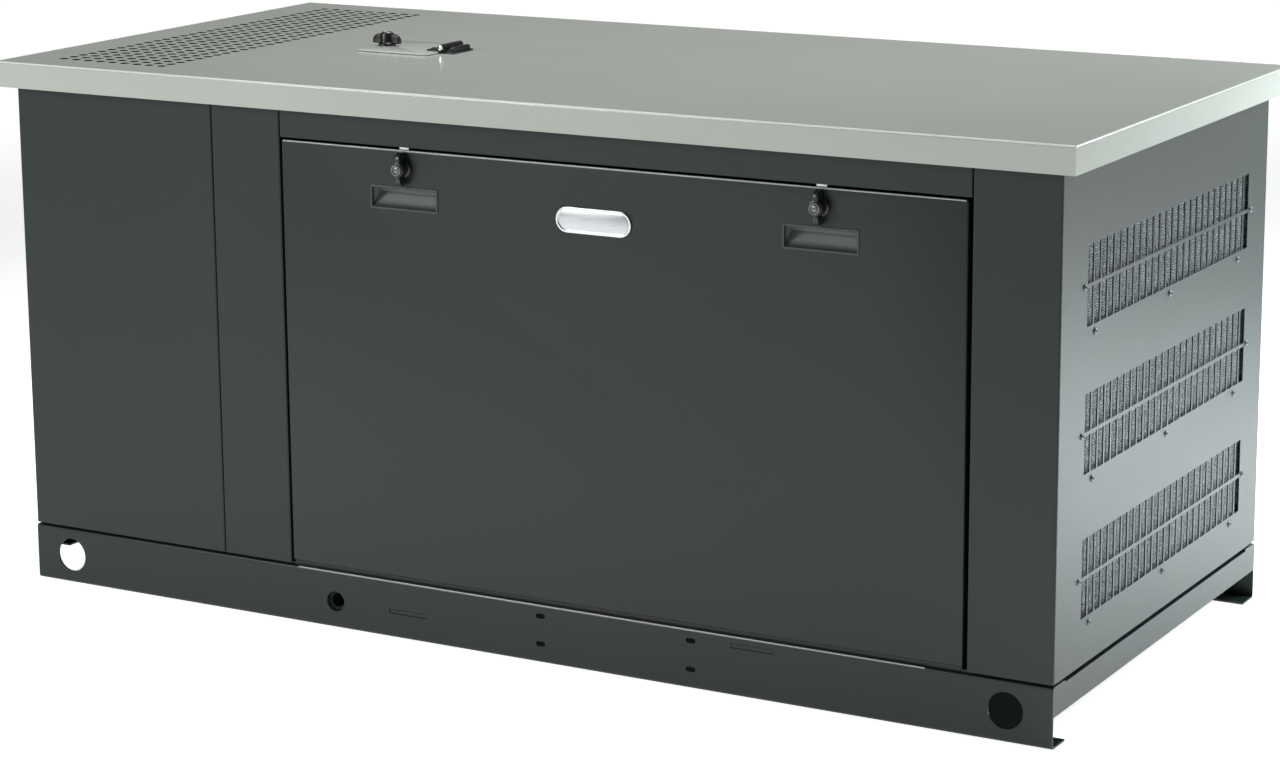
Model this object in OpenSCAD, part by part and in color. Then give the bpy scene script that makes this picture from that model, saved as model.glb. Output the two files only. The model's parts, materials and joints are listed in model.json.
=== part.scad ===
// Home standby generator: a long sheet-metal enclosure on a folded base frame,
// with an engine, a radiator at the left end and an alternator at the right end.
// Millimetres. X runs along the length, the service door faces -Y, Z is up.
// The origin is the centre of the rectangle that the base stands on.

/* [Enclosure] */
// Length of the enclosure and of the base
case_l = 1880; // [1870:2:1890]
// Depth of the enclosure and of the base
case_d = 868; // [860:2:876]
// Height of the lower edge of the enclosure panels
case_z = 99; // [98:0.5:101]
// Thickness of the panel sheet
sheet = 2; // [1.5:0.25:2.5]
// Outside radius of the folded edges
fold_r = 3; // [2.5:0.5:4]
// Depth of the folded returns behind each panel
return_d = 20; // [16:1:22]

/* [Roof] */
// How far the roof stands out past each end
roof_over_x = 27; // [20:1:30]
// How far the roof stands out past the front and the rear
roof_over_y = 23; // [18:1:26]
// Height of the top of the roof
roof_z = 897; // [895:1:900]
// Height of the folded fascia
fascia_h = 43; // [38:1:46]
// Spacing of the air holes in the roof
air_pitch = 25.4; // [24:0.2:26]
// Diameter of the air holes in the roof
air_hole_d = 16; // [12:1:18]

/* [Base frame] */
// Height of the base rails
rail_h = 95; // [94:0.5:96]
// Thickness of the rail plate
rail_t = 3; // [2.5:0.5:4]
// Outside bend radius of the rails
rail_r = 5; // [4:0.5:6]
// Width of the rail's bottom flange
rail_foot = 48; // [46:1:52]
// Width of the rail's top flange
rail_top = 45; // [42:1:47]
// Diameter of the lifting-bar holes
lift_d = 57; // [50:1:60]

/* [Service door] */
// Left edge of the door
door_x0 = -403; // [-404:1:-402]
// Right edge of the door
door_x1 = 795; // [793:1:796]
// Lower edge of the door
door_z0 = 104.5; // [104.5:0.5:105]
// Upper edge of the door
door_z1 = 802; // [798:1:802]

/* [Intake] */
// Number of slot columns in each intake opening
slot_columns = 26; // [20:1:28]
// Width of each intake opening
intake_w = 686; // [660:2:690]
// Height of each intake opening
intake_h = 121; // [110:1:124]
// Width of the webs between the slots
web_w = 5; // [4:0.5:7]

/* [Engine] */
// Height of the crankshaft axis
crank_z = 300; // [298:1:302]
// Height of the fan axis
fan_z = 470; // [468:1:472]
// Radius over the fan blades
fan_r = 222; // [210:2:224]

/* [Hidden] */
$fn = 48;

// Finishes
body_green = [0.25, 0.28, 0.27];
roof_grey = [0.66, 0.67, 0.63];
black_paint = [0.06, 0.06, 0.06];
bright_zinc = [0.78, 0.79, 0.80];
rubber_black = [0.09, 0.09, 0.09];
cast_grey = [0.45, 0.46, 0.47];

// Outside faces and clearances
hx = case_l / 2;
hy = case_d / 2;
front_y = -hy;
gap = 0.3;
fit_gap = 0.05;
eave_z = roof_z - fascia_h;
panel_top = roof_z - sheet;
return_y = front_y + return_d;

// Front joints between the panels
seam = 0.5;
post_x0 = -541;
post_x1 = -406.5;
right_post_x = 801.5;
header_z = 807;

// Hem, locks and grips of the door
hem_r = 3;
lock_x = [-169.5, 560];
lock_z = 774;
grip_z = 725;
grip_w = 125;
grip_h = 37;
grip_rim = 3;
grip_deep = 28;
shaft_r = 11;
knob_h = 21;
cam_y = front_y + 29;

// Base frame
lift_x = [-867, 865];
lift_z = 49;
anchor_x = 800;
anchor_y = hy - 24;
anchor_r = 7;
engine_x = -180;
alternator_x = 446;
tab_w = 70;
tab_gap = 0.8;
plate_t = 6;
engine_tab_z = 44;
alternator_tab_z = 80;
pan_z = rail_h;
pan_top = case_z;
mount_h = 50;
conduit_x0 = 560;
conduit_x1 = 800;
conduit_y0 = 120;
conduit_y1 = 300;
foot_z = pan_top + mount_h;

// Roof details
air_columns = 9;
air_rows = 31;
air_x0 = -880;
air_sheet = 1;
hatch_x0 = -495;
hatch_x1 = -350;
hatch_y = -14;
hatch_w = 137;
hatch_lap = 5;
hatch_z = roof_z + gap;
hatch_t = 2.5;
hinge_x = hatch_x1 + 2;
hinge_z = roof_z + 9;
hinge_r = 6;
hinge_l = 62;
hatch_lock_x = -477;
hatch_lock_y = -13;

// Intake openings in the right end panel
intake_y = 6;
intake_zs = [673, 452, 232];
mid_bar = 6;
intake_screw_y = [-303, 0, 303];
intake_side_y = 352;

// Radiator and fan
bulkhead_x = -508;
core_x0 = -505;
core_x1 = -449;
core_y = 270;
core_z0 = 200;
core_z1 = 720;
tank_h = 55;
neck_x = -472;
neck_r = 22;
shroud_x = -398;
shroud_hole_r = fan_r + 10;
fan_x = -408;
blade_count = 6;
pulley_x0 = -378;
pulley_x1 = -352;
belt_x0 = -369;
belt_w = 9;
crank_pulley_r = 80;
fan_pulley_r = 60;
groove_d = 10;
pump_shaft_r = 12;

// Engine and alternator
block_x0 = -300;
block_x1 = 170;
block_top = 440;
head_top = 530;
pan_bottom = 140;
crank_r = 34;
bell_r = 185;
bell_x1 = 290;
frame_r = 175;
frame_bore = 125;
rotor_r = 118;
frame_x1 = 700;
rear_bearing_r = 30;
mount_y = 195;
alternator_mount_y = 150;

// Exhaust
exhaust_y = -350;
exhaust_z = 560;
exhaust_r = 24;
muffler_x = -740;
muffler_z = 330;
muffler_r = 100;

// Fuel pipe that ends behind the hole in the front rail
fuel_x = -321;
fuel_z = 44.5;
fuel_y = -345;

// Control box
box_x0 = 350;
box_x1 = 790;
box_y0 = -365;
box_y1 = -190;
box_z0 = 540;
box_z1 = 785;
breaker_x = 700;
breaker_z = 662;
face_t = 8;
button_z = 600;
start_x = 490;
start_r = 11;
stop_x = 560;
stop_r = 13;

// ---- Shared shapes ----------------------------------------------------------

// A block given by its two opposite corners
module slab(low, high) {
    translate(low) cube(high - low);
}

// Round bars along the three axes
module bar_x(r, x0, x1, y, z) {
    translate([x0, y, z]) rotate([0, 90, 0]) cylinder(r = r, h = x1 - x0);
}
module bar_y(r, y0, y1, x, z) {
    translate([x, y0, z]) rotate([-90, 0, 0]) cylinder(r = r, h = y1 - y0);
}
module bar_z(r, z0, z1, x, y) {
    translate([x, y, z0]) cylinder(r = r, h = z1 - z0);
}

// A round bar between any two points
module strut(a, b, r) {
    d = b - a;
    flat = sqrt(d[0] * d[0] + d[1] * d[1]);
    translate(a)
        rotate([0, atan2(flat, d[2]), atan2(d[1], d[0])])
            cylinder(r = r, h = norm(d));
}

// A bent pipe through a list of points, with round corners
module pipe_run(points, r) {
    for (i = [0 : len(points) - 2]) strut(points[i], points[i + 1], r);
    for (i = [1 : len(points) - 2]) translate(points[i]) sphere(r = r);
}

// A rectangle with rounded corners, centred on the origin
module round_rect(w, h, r) {
    square([w - 2 * r, h], center = true);
    square([w, h - 2 * r], center = true);
    for (sx = [-1, 1], sy = [-1, 1])
        translate([sx * (w / 2 - r), sy * (h / 2 - r)]) circle(r = r);
}

// A plate with rounded corners that stands in the XZ plane
module upright_plate(x, z, w, h, r, y0, y1) {
    translate([x, y1, z])
        rotate([90, 0, 0])
            linear_extrude(y1 - y0) round_rect(w, h, r);
}

// Section of a folded channel: web along Y = 0, flanges towards +X
module channel_section(height, top_w, foot_w, t, r) {
    difference() {
        union() {
            translate([r, 0]) square([foot_w - r, height]);
            translate([0, r]) square([r, height - 2 * r]);
            translate([r, r]) circle(r = r);
            translate([r, height - r]) circle(r = r);
        }
        translate([r, t]) square([foot_w, height - 2 * t]);
        translate([t, r]) square([r, height - 2 * r]);
        translate([r, r]) circle(r = r - t);
        translate([r, height - r]) circle(r = r - t);
        translate([top_w, t]) square([foot_w, height]);
    }
}

// Section of a panel seen from above: skin at Y = 0, returns towards +Y
module tray_section(w, left, right, t, r) {
    difference() {
        union() {
            translate([r, 0]) square([w - 2 * r, t]);
            if (left > r) translate([0, r]) square([t, left - r]);
            if (right > r) translate([w - t, r]) square([t, right - r]);
            intersection() {
                translate([r, r]) circle(r = r);
                square(r);
            }
            intersection() {
                translate([w - r, r]) circle(r = r);
                translate([w - r, 0]) square(r);
            }
        }
        for (x = [r, w - r]) translate([x, r]) circle(r = r - t);
    }
}

// A front panel: folded skin with a flange along its top and its bottom
module front_tray(x0, x1, z0, z1, left = return_d, right = return_d) {
    w = x1 - x0;
    translate([x0, front_y, z0])
        linear_extrude(z1 - z0) tray_section(w, left, right, sheet, fold_r);
    for (z = [z0, z1 - sheet])
        slab([x0 + fold_r, front_y + sheet, z], [x1 - fold_r, return_y, z + sheet]);
}

// An end panel without its openings, standing at x = hx
module end_tray() {
    edge = hy - fold_r - gap;
    slab([hx - sheet, -edge, case_z], [hx, edge, panel_top]);
    flange = hy - return_d - gap;
    for (z = [case_z, panel_top - sheet])
        slab([hx - return_d, -flange, z], [hx - sheet, flange, z + sheet]);
}

// ---- Base frame -------------------------------------------------------------

module base_rail() {
    tabs = [[engine_x, engine_tab_z], [alternator_x, alternator_tab_z]];
    slot_l = 17;
    slot_r = 4;
    difference() {
        translate([-hx, front_y, 0])
            rotate([90, 0, 90])
                linear_extrude(case_l)
                    channel_section(rail_h, rail_top, rail_foot, rail_t, rail_r);
        for (x = lift_x) bar_y(lift_d / 2, front_y - 1, front_y + rail_t + 1, x, lift_z);
        bar_y(17, front_y - 1, front_y + rail_t + 1, fuel_x, fuel_z);
        for (x = [70, 340], z = [77, 31]) {
            for (s = [-1, 1])
                bar_y(slot_r, front_y - 1, front_y + rail_t + 1,
                      x + s * (slot_l / 2 - slot_r), z);
            slab([x - slot_l / 2 + slot_r, front_y - 1, z - slot_r],
                 [x + slot_l / 2 - slot_r, front_y + rail_t + 1, z + slot_r]);
        }
        for (t = tabs)
            slab([t[0] - tab_w / 2 - tab_gap, front_y - 1, t[1] - plate_t / 2 - tab_gap],
                 [t[0] + tab_w / 2 + tab_gap, front_y + rail_t + 1, t[1] + plate_t / 2 + tab_gap]);
        for (s = [-1, 1]) bar_z(anchor_r, -1, rail_t + 1, s * anchor_x, -anchor_y);
    }
}

module front_base_rail() {
    color(body_green) base_rail();
}

module rear_base_rail() {
    color(body_green) mirror([0, 1, 0]) base_rail();
}

// Both end beams: upper half of the base height, notched between the rail flanges
module end_cross_beams() {
    beam_z0 = 48.5;
    notch_z = 91.5;
    notch_y = 389;
    beam_flange = 32;
    web_y = hy - rail_t;
    color(body_green)
        for (s = [0, 1]) mirror([s, 0, 0]) {
            slab([hx - rail_t, -web_y, beam_z0], [hx, web_y, notch_z]);
            for (m = [0, 1]) mirror([0, m, 0])
                slab([hx - rail_t, notch_y, notch_z], [hx, web_y, rail_h - rail_t]);
            for (z = [beam_z0, notch_z - rail_t])
                slab([hx - beam_flange, -notch_y, z], [hx - rail_t, notch_y, z + rail_t]);
        }
}

// A flat plate whose tabs pass through both rail webs
module tabbed_plate(x, z, w) {
    inner = hy - rail_t;
    slab([x - w / 2, -inner, z - plate_t / 2], [x + w / 2, inner, z + plate_t / 2]);
    tip = hy - tab_gap;
    slab([x - tab_w / 2, -tip, z - plate_t / 2], [x + tab_w / 2, tip, z + plate_t / 2]);
}

module engine_cross_member() {
    w = 110;
    wall_y = hy - rail_foot - 2;
    color(body_green) {
        tabbed_plate(engine_x, engine_tab_z, w);
        for (s = [0, w - plate_t])
            slab([engine_x - w / 2 + s, -wall_y, engine_tab_z],
                 [engine_x - w / 2 + s + plate_t, wall_y, pan_z]);
    }
}

module alternator_cross_member() {
    w = 110;
    wall_y = hy - rail_foot - 2;
    wall_z = 30;
    color(body_green) {
        tabbed_plate(alternator_x, alternator_tab_z, w);
        for (s = [0, w - plate_t])
            slab([alternator_x - w / 2 + s, -wall_y, wall_z],
                 [alternator_x - w / 2 + s + plate_t, wall_y, alternator_tab_z]);
        for (s = [-1, 1])
            slab([alternator_x - 40, s * alternator_mount_y - 40, alternator_tab_z],
                 [alternator_x + 40, s * alternator_mount_y + 40, pan_z]);
    }
}

// Floor plate on the rail flanges, open where conduits come up from the pad
module floor_pan() {
    inset = 8;
    color(body_green) difference() {
        slab([-hx + inset, -hy + inset, pan_z], [hx - inset, hy - inset, pan_top]);
        slab([conduit_x0, conduit_y0, pan_z - 1], [conduit_x1, conduit_y1, pan_top + 1]);
        bar_z(15, pan_z - 1, pan_top + 1, fuel_x, fuel_y);
    }
}

// ---- Enclosure --------------------------------------------------------------

module front_left_panel() {
    color(body_green) front_tray(-hx, post_x0 - seam, case_z, panel_top, left = fold_r);
}

module front_left_post() {
    color(body_green) front_tray(post_x0 + seam, post_x1 - seam, case_z, panel_top);
}

module front_header() {
    color(body_green) front_tray(post_x1 + seam, right_post_x - seam, header_z, panel_top);
}

module front_right_post() {
    color(body_green) front_tray(right_post_x + seam, hx, case_z, panel_top, right = fold_r);
}

module rear_corner_panels() {
    color(body_green) mirror([0, 1, 0]) {
        front_tray(-hx, post_x1 - seam, case_z, panel_top, left = fold_r);
        front_tray(right_post_x + seam, hx, case_z, panel_top, right = fold_r);
    }
}

module rear_access_panel() {
    color(body_green) mirror([0, 1, 0])
        front_tray(post_x1 + seam, right_post_x - seam, case_z, panel_top);
}

module left_end_panel() {
    color(body_green) mirror([1, 0, 0]) end_tray();
}

// Three intake openings, each a row of slots with a bar across half height
module right_end_panel() {
    pitch = intake_w / slot_columns;
    slot_h = (intake_h - mid_bar) / 2;
    color(body_green) difference() {
        end_tray();
        for (zc = intake_zs, i = [0 : slot_columns - 1], s = [-1, 1]) {
            y = intake_y - intake_w / 2 + i * pitch + web_w / 2;
            z = zc + s * (slot_h + mid_bar) / 2;
            slab([hx - sheet - 1, y, z - slot_h / 2],
                 [hx + 1, y + pitch - web_w, z + slot_h / 2]);
        }
    }
}

// Fine wire screens clamped behind the three intake openings
module intake_screens() {
    screen_t = 3;
    stand_off = 4;
    margin = 9;
    back = hx - sheet;
    y0 = intake_y - intake_w / 2;
    y1 = intake_y + intake_w / 2;
    color(bright_zinc)
        for (zc = intake_zs) difference() {
            z0 = zc - intake_h / 2;
            z1 = zc + intake_h / 2;
            slab([back - stand_off - screen_t, y0 - margin, z0 - margin],
                 [back, y1 + margin, z1 + margin]);
            slab([back - stand_off, y0 - 1, z0 - 1], [back + 1, y1 + 1, z1 + 1]);
        }
}

// A low domed screw head whose seat lies at z = 0
module screw_head(r = 5, h = 2.6) {
    cylinder(r = r, h = 1);
    translate([0, 0, 1]) cylinder(r = r - 1.2, h = h - 1);
}

module panel_screws() {
    rear_xs = [-360, -120, 198, 516, 760];
    rear_zs = [130, 860 - 30];
    color(bright_zinc) {
        for (zc = intake_zs) {
            for (y = intake_screw_y)
                translate([hx, y, zc - intake_h / 2 - 12]) rotate([0, 90, 0]) screw_head();
            for (s = [-1, 1])
                translate([hx, intake_y + s * intake_side_y, zc]) rotate([0, 90, 0]) screw_head();
        }
        for (x = rear_xs, z = rear_zs)
            translate([x, hy, z]) rotate([-90, 0, 0]) screw_head();
    }
}

// Bright tabs that hang from the header in the gap above each lock
module strike_tabs() {
    tab = 17;
    color(bright_zinc)
        for (x = lock_x)
            slab([x - tab / 2, front_y + 3, 803.2], [x + tab / 2, front_y + 5, header_z]);
}

// A rubber edge trim pushed over the folded return whose left face is at x
module edge_trim(x) {
    lip = 2;
    difference() {
        slab([x - lip, return_y - 6, case_z + 6], [x + sheet + lip, return_y + 3, header_z - 2]);
        slab([x, return_y - 7, case_z], [x + sheet, return_y, header_z]);
    }
}

// Rubber trim up both sides of the door opening, and the rest along its bottom
module door_seal() {
    rest_d = 14;
    color(rubber_black) {
        edge_trim(post_x1 - seam - sheet);
        edge_trim(right_post_x + seam);
        slab([door_x0 + 2, front_y + 4, case_z],
             [door_x1 - 2, front_y + 4 + rest_d, door_z0 - gap]);
    }
}

// ---- Roof -------------------------------------------------------------------

// Section of the roof's outside, with rounded upper edges
module roof_section(w) {
    r = 4;
    translate([-w / 2, 0]) square([w, fascia_h - r]);
    translate([-w / 2 + r, 0]) square([w - 2 * r, fascia_h]);
    for (s = [-1, 1]) translate([s * (w / 2 - r), fascia_h - r]) circle(r = r);
}

module roof_panel() {
    rx = hx + roof_over_x;
    ry = hy + roof_over_y;
    lip = 12;
    color(roof_grey) difference() {
        union() {
            difference() {
                intersection() {
                    translate([-rx - 1, 0, eave_z]) rotate([90, 0, 90])
                        linear_extrude(2 * rx + 2) roof_section(2 * ry);
                    translate([0, ry + 1, eave_z]) rotate([90, 0, 0])
                        linear_extrude(2 * ry + 2) roof_section(2 * rx);
                }
                slab([-rx + sheet, -ry + sheet, eave_z - 1],
                     [rx - sheet, ry - sheet, roof_z - sheet]);
            }
            difference() {
                slab([-rx + 1, -ry + 1, eave_z], [rx - 1, ry - 1, eave_z + sheet]);
                slab([-rx + lip, -ry + lip, eave_z - 1], [rx - lip, ry - lip, eave_z + sheet + 1]);
            }
        }
        for (i = [0 : air_columns - 1], j = [0 : air_rows - 1])
            bar_z(air_hole_d / 2, roof_z - sheet - 1, roof_z + 1,
                  air_x0 + i * air_pitch, (j - (air_rows - 1) / 2) * air_pitch);
        slab([air_x0 - air_pitch, -air_pitch * air_rows / 2, roof_z - sheet - 1],
             [air_x0 + air_pitch * air_columns, air_pitch * air_rows / 2, roof_z - air_sheet]);
        slab([hatch_x0 + hatch_lap, hatch_y - hatch_w / 2 + hatch_lap, roof_z - sheet - 1],
             [hatch_x1 - hatch_lap, hatch_y + hatch_w / 2 - hatch_lap, roof_z + 1]);
    }
}

// Flap over the coolant filler, with a hole for its lock
module roof_hatch() {
    color(roof_grey) difference() {
        translate([(hatch_x0 + hatch_x1) / 2, hatch_y, hatch_z])
            linear_extrude(hatch_t) round_rect(hatch_x1 - hatch_x0, hatch_w, 6);
        bar_z(shaft_r, hatch_z - 1, hatch_z + hatch_t + 1, hatch_lock_x, hatch_lock_y);
    }
}

// Fixed hinge leaf with its two outer knuckles and the pin
module hatch_hinge() {
    leaf = 26;
    third = hinge_l / 3;
    color(black_paint) translate([0, hatch_y, 0]) {
        slab([hinge_x + hinge_r + gap, -hinge_l / 2, roof_z], [hinge_x + leaf, hinge_l / 2, roof_z + 3]);
        for (y = [-hinge_l / 2, third / 2]) {
            bar_y(hinge_r, y, y + third, hinge_x, hinge_z);
            slab([hinge_x, y, hinge_z - hinge_r], [hinge_x + hinge_r + 2, y + third, hinge_z - 3]);
        }
        slab([hinge_x + hinge_r - 2, -hinge_l / 2, roof_z], [hinge_x + hinge_r + 2, -third / 2, hinge_z - 3]);
        slab([hinge_x + hinge_r - 2, third / 2, roof_z], [hinge_x + hinge_r + 2, hinge_l / 2, hinge_z - 3]);
        bar_y(2.5, -hinge_l / 2, hinge_l / 2, hinge_x, hinge_z);
    }
}

// Leaf screwed to the flap, whose middle knuckle turns on the pin
module hatch_hinge_leaf() {
    leaf = 28;
    half = hinge_l / 6 - gap;
    base = hatch_z + hatch_t;
    color(black_paint) translate([0, hatch_y, 0]) difference() {
        union() {
            slab([hinge_x - leaf, -hinge_l / 2, base], [hinge_x - hinge_r - gap, hinge_l / 2, base + 3]);
            slab([hinge_x - hinge_r - 1, -half, base], [hinge_x, half, hinge_z - 1]);
            bar_y(hinge_r, -half, half, hinge_x, hinge_z);
        }
        bar_y(2.5 + fit_gap, -half - 1, half + 1, hinge_x, hinge_z);
    }
}

// ---- Locks ------------------------------------------------------------------

// Wing knob: seat at z = 0, wings along X, open barrel for the key cylinder
module wing_knob() {
    seat_r = 15;
    barrel_r = 12;
    core_r = 8;
    wing_l = 54;
    wing_t = 8;
    color(black_paint) difference() {
        union() {
            translate([0, 0, gap]) cylinder(r = seat_r, h = 6);
            cylinder(r = barrel_r, h = knob_h);
            translate([-wing_l / 2 + 6, -wing_t / 2, 7]) cube([wing_l - 12, wing_t, knob_h - 8]);
            for (s = [-1, 1])
                translate([s * (wing_l / 2 - 6), 0, 7]) cylinder(r = 6, h = knob_h - 8);
        }
        translate([0, 0, -1]) cylinder(r = core_r, h = 30);
        translate([0, 0, -1]) cylinder(r = barrel_r + 1, h = 1 + gap);
    }
}

// Key cylinder, shaft and cam: the cylinder's face stands 1 mm out of the knob
module lock_core(reach, cam_l) {
    cam_t = 3;
    cam_w = 20;
    color(bright_zinc) {
        difference() {
            cylinder(r = 8, h = knob_h + 1);
            translate([-1, -4, knob_h - 1]) cube([2, 8, 3]);
        }
        translate([0, 0, -reach]) cylinder(r = shaft_r - fit_gap, h = reach + gap);
        translate([0, -cam_w / 2, -reach - cam_t]) cube([cam_l, cam_w, cam_t]);
        translate([0, 0, -reach - cam_t - 5]) cylinder(r = 8, h = 5, $fn = 6);
    }
}

// Places a lock in the door: its z axis points out of the door
module on_door(x) {
    translate([x, front_y, lock_z]) rotate([90, 0, 0]) children();
}

module door_wing_lock(x) {
    on_door(x) rotate([0, 0, 90]) wing_knob();
}

module door_lock_core(x) {
    on_door(x) lock_core(cam_y - front_y, 44);
}

module left_wing_lock() {
    door_wing_lock(lock_x[0]);
}

module right_wing_lock() {
    door_wing_lock(lock_x[1]);
}

module left_lock_core() {
    door_lock_core(lock_x[0]);
}

module right_lock_core() {
    door_lock_core(lock_x[1]);
}

module hatch_wing_lock() {
    translate([hatch_lock_x, hatch_lock_y, hatch_z + hatch_t]) wing_knob();
}

module hatch_lock_core() {
    translate([hatch_lock_x, hatch_lock_y, hatch_z + hatch_t])
        rotate([0, 0, -90]) lock_core(12, 36);
}

// ---- Service door -----------------------------------------------------------

// The door tilts on the rolled hem along its lower edge
module front_door() {
    color(body_green) {
        difference() {
            front_tray(door_x0, door_x1, door_z0 + hem_r, door_z1);
            for (x = lock_x) {
                bar_y(shaft_r, front_y - 1, front_y + sheet + 1, x, lock_z);
                upright_plate(x, grip_z, grip_w - 2 * grip_rim, grip_h - 2 * grip_rim, 3,
                              front_y - 1, front_y + sheet + 1);
            }
        }
        bar_x(hem_r, door_x0, door_x1, front_y + hem_r, door_z0 + hem_r);
    }
}

// Recessed pull cups: a thin rim on the door and a pocket behind it
module door_grips() {
    wall = 1.5;
    pocket_w = grip_w - 2 * grip_rim - 2 * gap;
    pocket_h = grip_h - 2 * grip_rim - 2 * gap;
    color(body_green)
        for (x = lock_x) difference() {
            union() {
                upright_plate(x, grip_z, grip_w, grip_h, 5, front_y - 1.2, front_y);
                upright_plate(x, grip_z, pocket_w, pocket_h, 3, front_y, front_y + grip_deep);
            }
            upright_plate(x, grip_z, pocket_w - 2 * wall, pocket_h - 2 * wall, 2,
                          front_y - 2, front_y + grip_deep - wall);
        }
}

// Plain trim plate with round ends and a raised border
module badge_plate() {
    badge_x = 175;
    badge_z = 718;
    w = 132;
    h = 40;
    color(bright_zinc) difference() {
        upright_plate(badge_x, badge_z, w, h, h / 2 - 0.5, front_y - 3, front_y);
        upright_plate(badge_x, badge_z, w - 8, h - 8, h / 2 - 4.5, front_y - 4, front_y - 1.8);
    }
}

// ---- Cooling ----------------------------------------------------------------

module radiator_bulkhead() {
    edge_y = hy - return_d - 1;
    cam_room = 14;
    color(body_green) difference() {
        union() {
            slab([bulkhead_x, -edge_y, pan_top],
                 [bulkhead_x + sheet, edge_y, panel_top - cam_room]);
            slab([bulkhead_x - 25, -edge_y, pan_top], [bulkhead_x, edge_y, pan_top + sheet]);
        }
        slab([bulkhead_x - 1, -core_y + 15, core_z0 + 10],
             [bulkhead_x + sheet + 1, core_y - 15, core_z1 - 10]);
        bar_x(exhaust_r + 12, bulkhead_x - 1, bulkhead_x + sheet + 1, exhaust_y, exhaust_z);
    }
}

// Core block with side plates; its fins are a texture of the surface
module radiator_core() {
    color(cast_grey) {
        slab([core_x0, -core_y, core_z0], [core_x1, core_y, core_z1]);
        for (s = [0, 1]) mirror([0, s, 0])
            slab([core_x0, core_y, core_z0 - 60], [core_x1, core_y + 3, core_z1 + 20]);
    }
}

module radiator_tanks() {
    side = core_y - 5;
    color(black_paint) {
        for (z = [core_z0 - tank_h, core_z1])
            slab([core_x0, -side, z], [core_x1, side, z + tank_h]);
        for (y = [-200, 160])
            slab([core_x0 + 10, y, pan_top], [core_x1 - 10, y + 40, core_z0 - tank_h]);
        difference() {
            bar_z(neck_r, core_z1 + tank_h, core_z1 + tank_h + 24, neck_x, 0);
            bar_z(neck_r - 4, core_z1 + tank_h + 2, core_z1 + tank_h + 30, neck_x, 0);
        }
        bar_x(18, core_x1, core_x1 + 18, 70, core_z1 + 28);
        bar_x(18, core_x1, core_x1 + 18, -170, core_z0 - 28);
    }
}

// Pressure cap that turns on the filler neck
module radiator_cap() {
    z0 = core_z1 + tank_h + 12;
    top = z0 + 16;
    cap_r = 26;
    color(bright_zinc) difference() {
        union() {
            bar_z(cap_r, z0, top, neck_x, 0);
            for (s = [-1, 1])
                translate([neck_x + s * (cap_r - 1), 0, z0]) cylinder(r = 6, h = 16);
            slab([neck_x - 5, -20, top], [neck_x + 5, 20, top + 5]);
        }
        bar_z(neck_r + gap, z0 - 1, top - 3, neck_x, 0);
    }
}

module fan_shroud() {
    t = 3;
    plate_x = shroud_x - t;
    color(black_paint) {
        difference() {
            slab([core_x1, -core_y, core_z0], [plate_x + t, core_y, core_z1]);
            slab([core_x1 - 1, -core_y + t, core_z0 + t], [plate_x, core_y - t, core_z1 - t]);
            bar_x(shroud_hole_r, plate_x - 1, plate_x + t + 1, 0, fan_z);
        }
        difference() {
            bar_x(shroud_hole_r + t, plate_x, shroud_x + 18, 0, fan_z);
            bar_x(shroud_hole_r, plate_x - 1, shroud_x + 19, 0, fan_z);
        }
    }
}

module cooling_fan() {
    hub_r = 58;
    blade_w = 80;
    blade_t = 3;
    blade_angle = 28;
    color(black_paint) {
        bar_x(hub_r, fan_x - 22, pulley_x0, 0, fan_z);
        for (i = [0 : blade_count - 1])
            translate([fan_x, 0, fan_z])
                rotate([i * 360 / blade_count, 0, 0])
                    translate([0, 0, hub_r - 8])
                        rotate([0, 0, blade_angle])
                            translate([-blade_t / 2, -blade_w / 2, 0])
                                cube([blade_t, blade_w, fan_r - hub_r - 2]);
    }
}

// A grooved pulley between pulley_x0 and pulley_x1
module grooved_pulley(r, z) {
    difference() {
        bar_x(r, pulley_x0, pulley_x1, 0, z);
        difference() {
            bar_x(r + 1, belt_x0 - 0.5, belt_x0 + belt_w + 0.5, 0, z);
            bar_x(r - groove_d, belt_x0 - 2, belt_x0 + belt_w + 2, 0, z);
        }
    }
}

module fan_pulley() {
    color(cast_grey) {
        grooved_pulley(fan_pulley_r, fan_z);
        bar_x(pump_shaft_r, pulley_x1, block_x0 - 4, 0, fan_z);
    }
}

module crank_pulley() {
    color(cast_grey) difference() {
        grooved_pulley(crank_pulley_r, crank_z);
        bar_x(20, pulley_x0 - 1, pulley_x1 + 1, 0, crank_z);
    }
}

// Outline of a belt of radius r0 round the crank pulley and r1 round the fan pulley
module belt_outline(r0, r1) {
    span = fan_z - crank_z;
    lean = asin((r0 - r1) / span);
    low = [r0 * cos(lean), r0 * sin(lean)];
    high = [r1 * cos(lean), span + r1 * sin(lean)];
    circle(r = r0);
    translate([0, span]) circle(r = r1);
    polygon([low, high, [-high[0], high[1]], [-low[0], low[1]]]);
}

module drive_belt() {
    clear = 0.5;
    thick = 8;
    low_r = crank_pulley_r - groove_d + clear;
    high_r = fan_pulley_r - groove_d + clear;
    color(rubber_black)
        translate([belt_x0, 0, crank_z]) rotate([90, 0, 90])
            linear_extrude(belt_w) difference() {
                belt_outline(low_r + thick, high_r + thick);
                belt_outline(low_r, high_r);
            }
}

module coolant_hoses() {
    r = 21;
    x = -324;
    color(rubber_black) {
        difference() {
            pipe_run([[core_x1 + 2, 70, core_z1 + 28], [x, 70, core_z1 + 28],
                      [x, 70, 500], [block_x0 + 8, 70, 500]], r);
            bar_x(18, core_x1, core_x1 + 18, 70, core_z1 + 28);
        }
        difference() {
            pipe_run([[core_x1 + 2, -170, core_z0 - 28], [x, -170, core_z0 - 28],
                      [x, -170, fan_z], [x, -46, fan_z]], r);
            bar_x(18, core_x1, core_x1 + 18, -170, core_z0 - 28);
        }
    }
}

// ---- Engine -----------------------------------------------------------------

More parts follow.
